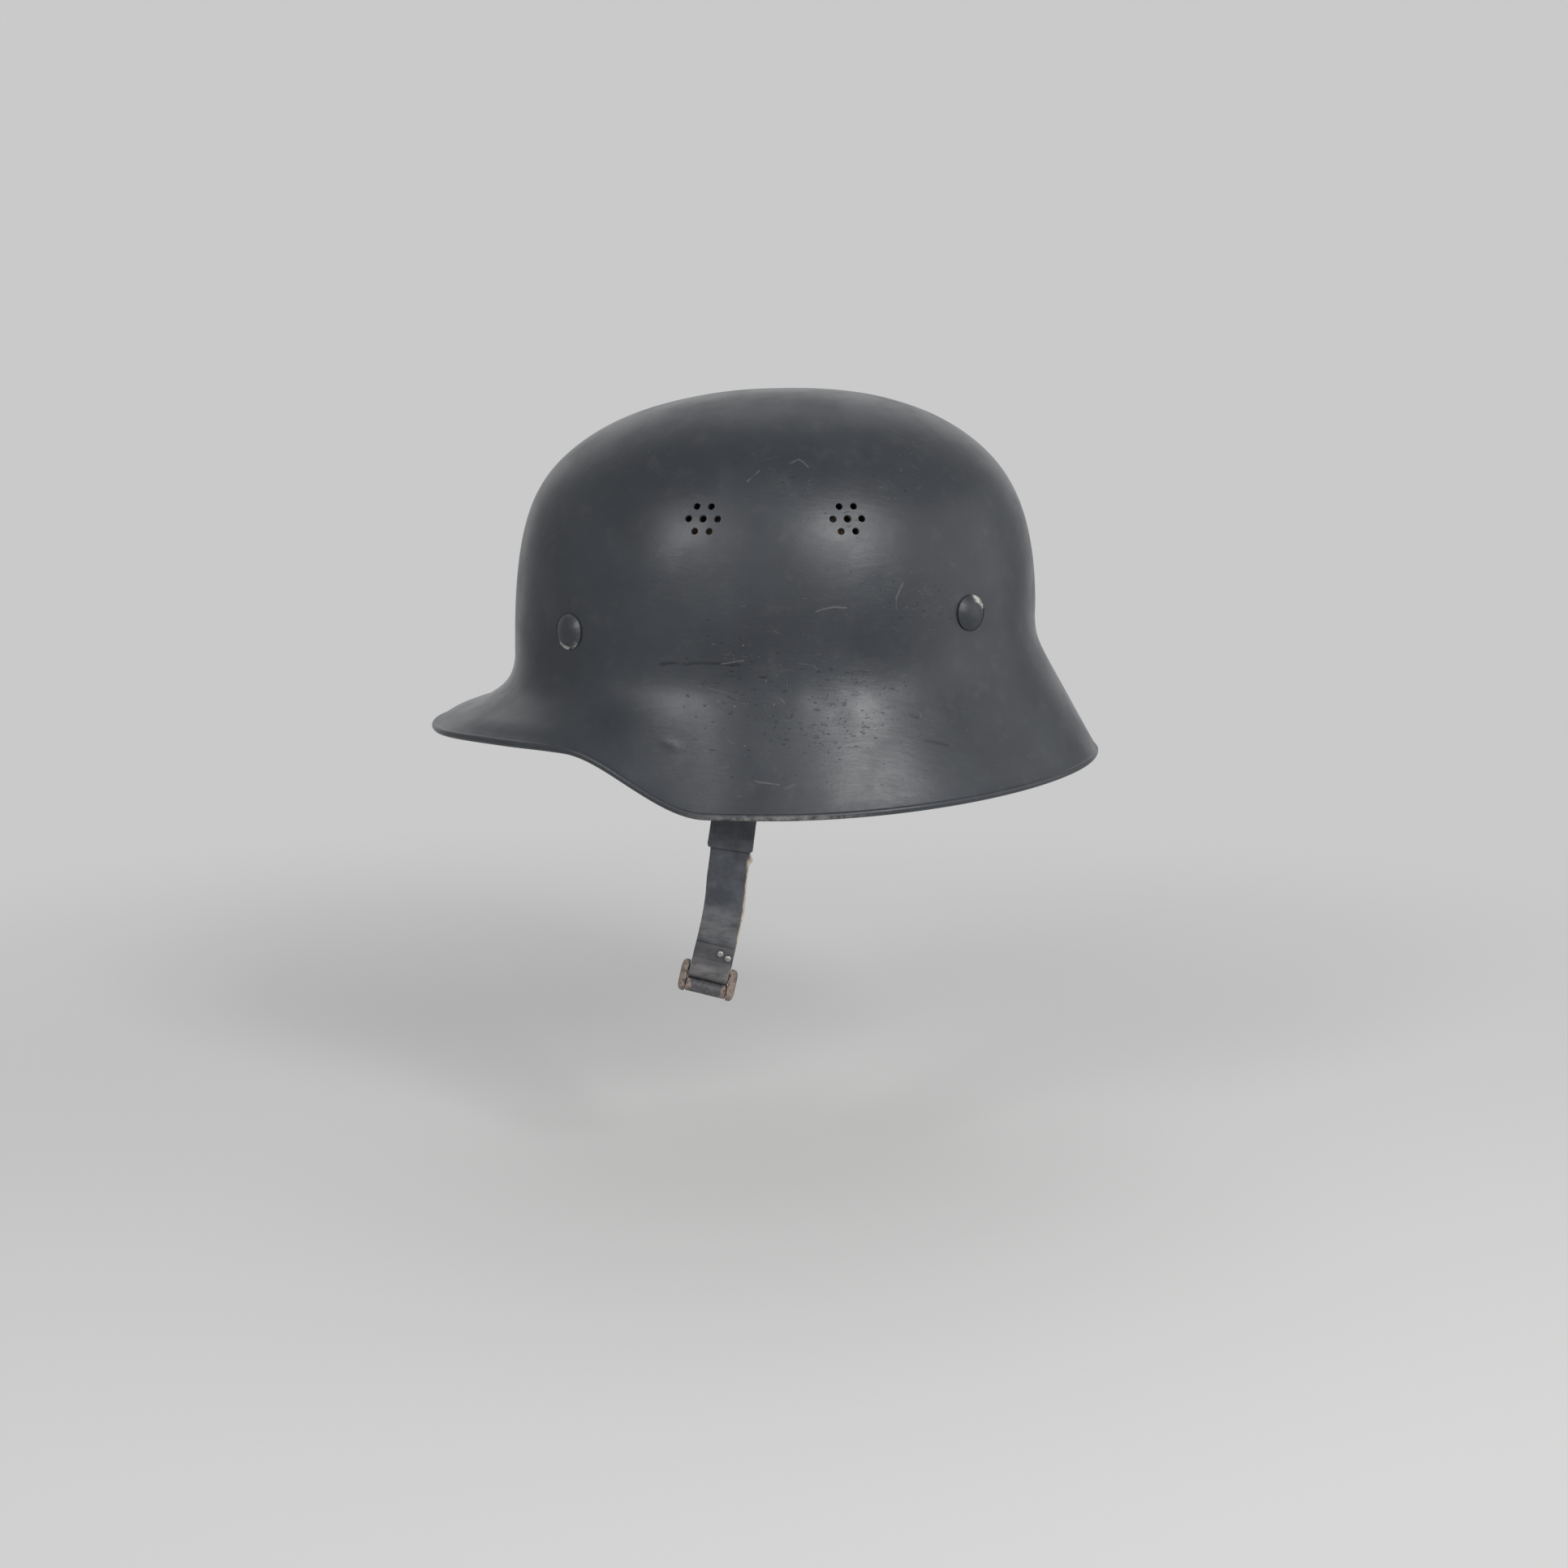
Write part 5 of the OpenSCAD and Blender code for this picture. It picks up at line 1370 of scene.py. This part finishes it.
# Painted highlight: the roll of leather over the bar is made paler, through the scuff colour.
highlight_over_bar = hump(rise, 0.6, 2.6, 4) * (out > 0)
above_bar = 0.75 * hump(rise, 18, 6.5, 4) + 0.35 * hump(rise, 24.5, 2.0)
spot = hump(np.hypot(rear + 5.6, rise - 15.5), 0, 0.9)
carry_mark(strap_left, "wear", np.clip(highlight_over_bar + above_bar + spot, 0, 1))

# %% [markdown]
# The prong comes up through a slot in the fold round the bar. The slot is wide enough for the prong to
# lift.

# %% The prong's slot
EYE_ROOM, SLOT_HALF, SLOT_TOP, SLOT_PAST = 2.06, 2.1, 4.0, -4.6
eye = [(EYE_ROOM * cos(a), EYE_ROOM * sin(a)) for a in np.radians(np.linspace(-90, 92, 16))]
slot_outline = [(SLOT_PAST, SLOT_PAST), (0, SLOT_PAST)] + eye + [(-0.07, SLOT_TOP), (SLOT_PAST, SLOT_TOP)]
points, faces = skin([from_side(slot_outline, y) for y in (-SLOT_HALF, SLOT_HALF)])
cut(strap_left, carried(at_buckle, points), faces)
finished(strap_left, STRAP_LEATHER, "left_strap", ["strap_left"], sharp=50)
print("left strap, with its slot:", len(strap_left.data.vertices), "points")

# %% [markdown]
# The right strap is the punched half: five holes and a pointed end. It hangs behind the other one in the
# picture. Its point has been pulled through the buckle often, so it curls a little and its holes have
# stretched.

# %% Right strap
PUNCHED_LENGTH, HOLE_SPACING, STRAP_HOLE, HOLES = 142.0, 11.0, 2.8, 5
HOLE_STRETCH = {1: 0.10, 2: 0.14}


def right_strap():
    """The punched strap, with its bow near the point."""
    heights = np.arange(STRAP_TOP - 0.6, -(PUNCHED_LENGTH - 0.6), -1.0)
    half = STRAP_WIDTH / 2
    point_start = half - PUNCHED_LENGTH
    past = np.clip((point_start - heights) / half, 0, 1)
    widths = STRAP_WIDTH * (1 - 0.72 * past**1.7)
    bow = 0.25 * np.sin((heights + 30) / 19.0) * np.clip((-heights - 58) / 20, 0, 1)
    centres = np.stack([bow, 0 * bow, heights], -1)
    across = np.tile(ACROSS, (len(heights), 1))
    along = unit(np.gradient(centres, axis=0))
    outs = unit(np.cross(across, along))
    outs = outs * np.sign(outs[:, :1])
    return strip(centres, across, outs, widths, STRAP_HIDE - THIN, seed=2.9, cup=0.08)


points, faces, labels = right_strap()
strap_right = make_mesh("punched_strap", mirror_x(carried(at_strap, points)), faces)
leather_marks(strap_right, labels)
punches = []
for i in range(HOLES):
    points, faces = lathed([(STRAP_HOLE / 2, -4), (STRAP_HOLE / 2, 4)], 20)
    stretched = points * (1 + HOLE_STRETCH.get(i, 0), 1, 1)
    place = at_strap @ moved(0, 0, STRAP_WIDTH - PUNCHED_LENGTH + i * HOLE_SPACING) @ turned("Y", 90)
    punches.append((mirror_x(carried(place, stretched)), faces))
cut(strap_right, *joined(*punches))
finished(strap_right, STRAP_LEATHER, "right_strap", ["strap_right"], sharp=50)
print("right strap:", len(strap_right.data.vertices), "points")

# %% [markdown]
# Each tab is one piece of leather folded round the bale's bar. Its two layers close on the strap below the
# rivets and end square, with corners that have rubbed round. The inner layer's lower end has slipped a
# little to the front, so its corner peeps out, and its rear corner has lost its dye.

# %% Tabs
TAB_WIDTH, TAB_LENGTH, TAB_HIDE, TAB_BORE = 18.0, 55.5, 1.8, 1.55
TAB_CLOSED, TAB_SLIP = 1.84, 0.75


def tab_skin(seed):
    """The folded tab, from the foot of its inner layer, up, over the bar and down its outer layer."""
    middle = TAB_BORE + TAB_HIDE / 2

    def gap(z):
        """How far a layer's middle stands from the strap's middle at a height."""
        return middle - (middle - TAB_CLOSED) * ease(31, 45, -z)

    down = np.arange(-1.0, -(TAB_LENGTH - 0.5), -1.0)
    side = [(gap(z), z) for z in down]
    over = [(middle * cos(a), middle * sin(a)) for a in np.linspace(0, pi, 15)]
    line = np.array([(-x, z) for x, z in side[::-1]] + over[::-1] + side)
    slip = -TAB_SLIP * ramp(-line[:, 1], 30, 25) ** 2 * (line[:, 0] < 0)
    centres = from_side(line, slip)
    across = np.tile(ACROSS, (len(line), 1))
    widths = TAB_WIDTH - 0.1 - 0.9 * ramp(-line[:, 1], TAB_LENGTH - 1.8, 1.4) ** 2
    return strip(centres, across, outward(line), widths, TAB_HIDE - 0.08, seed=seed, cup=-0.06, wobble=0.09)


for name, side, seed in (("left", 1, 1.3), ("right", -1, 4.4)):
    points, faces, labels = tab_skin(seed)
    tab = make_mesh("strap_tab_" + name, carried(at_strap, points) * (side, 1, 1), faces)
    leather_marks(tab, labels)
    bared = np.clip((points[:, 1] - TAB_WIDTH / 2 + 2.6) / 1.6, 0, 1) * (points[:, 0] < 0)
    bared = bared * ease(4.5 - TAB_LENGTH, 2.0 - TAB_LENGTH, points[:, 2])
    carry_mark(tab, "edge", np.maximum(np.where(labels[:, 0] == 0, 0.5, 0.0), bared))
    finished(tab, STRAP_LEATHER, name + "_strap", ["tab_" + name], sharp=50)
print("tabs folded")

# %% [markdown]
# ## Strap rivets and buckle
#
# The two rivets are small aluminium-bright domes, one above the other, near the strap's rear edge. The
# buckle is a pressed steel frame whose side cheeks have lost their black paint and rusted, with a roller
# that still has most of it. The roller is a rolled tube: a seam runs along it on the inner side.

# %% Strap rivets
STRAP_RIVETS = [(5.4, 8.4), (2.1, 7.2)]  # how far in from the rear edge and how far over the bar
STRAP_RIVET_HEAD, STRAP_RIVET_PIN = 2.8, 1.4
half, pin = STRAP_RIVET_HEAD / 2, STRAP_RIVET_PIN / 2
profile = [(0.01, 0.78)] + [(half * sin(a), 0.12 + 0.66 * cos(a)) for a in np.linspace(0.15, pi / 2, 8)]
profile += [(half - 0.05, 0.0), (pin, -0.05), (pin, -1.7)]
points, faces = lathed(profile, 28)
domes = []
for inset, rise in STRAP_RIVETS:
    place = at_buckle @ moved(STRAP_HIDE - LOOP_BORE, STRAP_WIDTH / 2 - inset, rise) @ turned("Y", 90)
    domes.append((carried(place, points), faces))
strap_rivets = make_mesh("strap_rivet_domes", *joined(*domes))
finished(strap_rivets, BARE_STEEL, "left_strap", ["strap_rivets"])
print("strap rivets:", len(domes))

# %% Buckle frame
BUCKLE_WIDTH, BUCKLE_REACH, BUCKLE_BAR, ROLLER, CHEEK = 22.8, 6.5, 2.2, 5.6, 6.4
CHEEK_INSIDE = STRAP_WIDTH / 2 + 0.40
CHEEK_DOME, CHEEK_DOME_RISE = 1.7, 1.65


def cheek_outline(radius, count=18):
    """The side view of a cheek: a stadium round the bar and the axle, as X and Z pairs."""
    top = [(radius * cos(a), radius * sin(a)) for a in np.linspace(0, pi, count)]
    foot = [(radius * cos(a), radius * sin(a) - BUCKLE_REACH) for a in np.linspace(pi, 2 * pi, count)]
    return np.array(top + foot)


def cheek(way):
    """A cheek pressed from sheet: a flat inner face, round shoulders and a slightly domed outer face."""
    inner, shoulder, outer = CHEEK_INSIDE, BUCKLE_WIDTH / 2 - 1.9, BUCKLE_WIDTH / 2
    radius = CHEEK / 2
    steps = [(radius - 0.25, inner), (radius, inner + 0.25), (radius, shoulder)]
    steps += [(radius - CHEEK_DOME * (1 - cos(a)), shoulder + CHEEK_DOME_RISE * sin(a))
              for a in np.linspace(0.2, 1.45, 8)]
    steps += [(radius - 2.2, outer - 0.10), (radius - 2.8, outer - 0.02)]
    return skin([from_side(cheek_outline(max(0.2, r)), way * y) for r, y in steps])


def rod(z, sides=24):
    """A round bar that reaches into both cheeks, at a height."""
    angles = np.arange(sides) * 2 * pi / sides
    circle = np.stack([BUCKLE_BAR / 2 * np.cos(angles), BUCKLE_BAR / 2 * np.sin(angles) + z], -1)
    return skin([from_side(circle, y) for y in (-CHEEK_INSIDE - 0.2, CHEEK_INSIDE + 0.2)])


points, faces = joined(cheek(-1), cheek(1), rod(0.0), rod(-BUCKLE_REACH))
buckle = make_mesh("buckle_cheeks", carried(at_buckle, points), faces)
inside = np.clip((CHEEK_INSIDE + 0.9 - np.abs(points[:, 1])) / 1.2, 0, 1)
carry_mark(buckle, "painted", inside * 0.5)
finished(buckle, RUSTED_STEEL, "buckle", ["buckle_frame"])
print("buckle frame:", len(buckle.data.vertices), "points")

# %% Roller
ROLLER_PLAY, ROLLER_PAINT = 0.32, 0.08
SEAM_DEPTH, SEAM_HALF = 0.30, 0.085


def roller_skin():
    """A rolled tube with turned-in ends and an open seam on its inner side."""
    half = CHEEK_INSIDE - ROLLER_PLAY
    outer, inner = ROLLER / 2 + ROLLER_PAINT, BUCKLE_BAR / 2 + 0.2
    profile = [(outer - 0.35, -half), (outer - 0.10, -half + 0.12), (outer, -half + 0.42)]
    profile += [(outer + 0.03 * sin(y * 0.9), y) for y in np.linspace(-half + 1.2, half - 1.2, 12)]
    profile += [(outer, half - 0.42), (outer - 0.10, half - 0.12), (outer - 0.35, half)]
    profile += [(inner, half - 0.1), (inner, -half + 0.1)]
    angles = np.arange(56) * 2 * pi / 56
    seam = SEAM_DEPTH * hump(angles, pi, SEAM_HALF)
    rings = []
    for r, y in profile:
        radius = r - seam * (r > inner + 0.3)
        circle = np.stack([radius * np.cos(angles), radius * np.sin(angles) - BUCKLE_REACH], -1)
        rings.append(from_side(circle, y))
    return skin(rings, round_path=True)


points, faces = roller_skin()
roller = make_mesh("buckle_roller_tube", carried(at_buckle, points), faces)
from_end = CHEEK_INSIDE - np.abs(points[:, 1])
carry_mark(roller, "painted", np.clip((from_end - 2.2) / 1.0, 0, 1))
finished(roller, RUSTED_STEEL, "roller", ["buckle_roller"])
print("roller:", len(roller.data.vertices), "points")

# %% [markdown]
# ## Floor
#
# The helmet is shown in its own frame, with the straps hanging free above a plain pale floor. The floor is
# only painted near the helmet and thins out to nothing further off, so that it meets the backdrop without a
# line.

# %% Floor
FLOOR_LEVEL = -0.165
FLOOR_HALF = 3.0 * MM_PER_METRE


def pale_floor():
    """A matt pale floor that thins out to nothing away from the helmet."""
    f = Finish("pale_floor")
    across = f.node("VectorMath", {"operation": "LENGTH"}, [f.place], 1)
    f.set(Base_Color=(0.70, 0.70, 0.69), Roughness=0.7, Specular_IOR_Level=0.2)
    clear = f.node("BsdfTransparent")
    cover = f.node("MixShader", {}, [across.between(0.25, 0.85), Wire(f, f.shader.outputs[0]), clear])
    f.feed(f.tree.nodes["Material Output"].inputs["Surface"], cover)
    return f.material


corners = [(x * FLOOR_HALF, y * FLOOR_HALF, 0) for x, y in ((-1, -1), (1, -1), (1, 1), (-1, 1))]
floor = make_mesh("floor", corners, [(0, 1, 2, 3)])
floor.location.z = FLOOR_LEVEL
floor.data.materials.append(pale_floor())
print("floor:", FLOOR_LEVEL, "m")
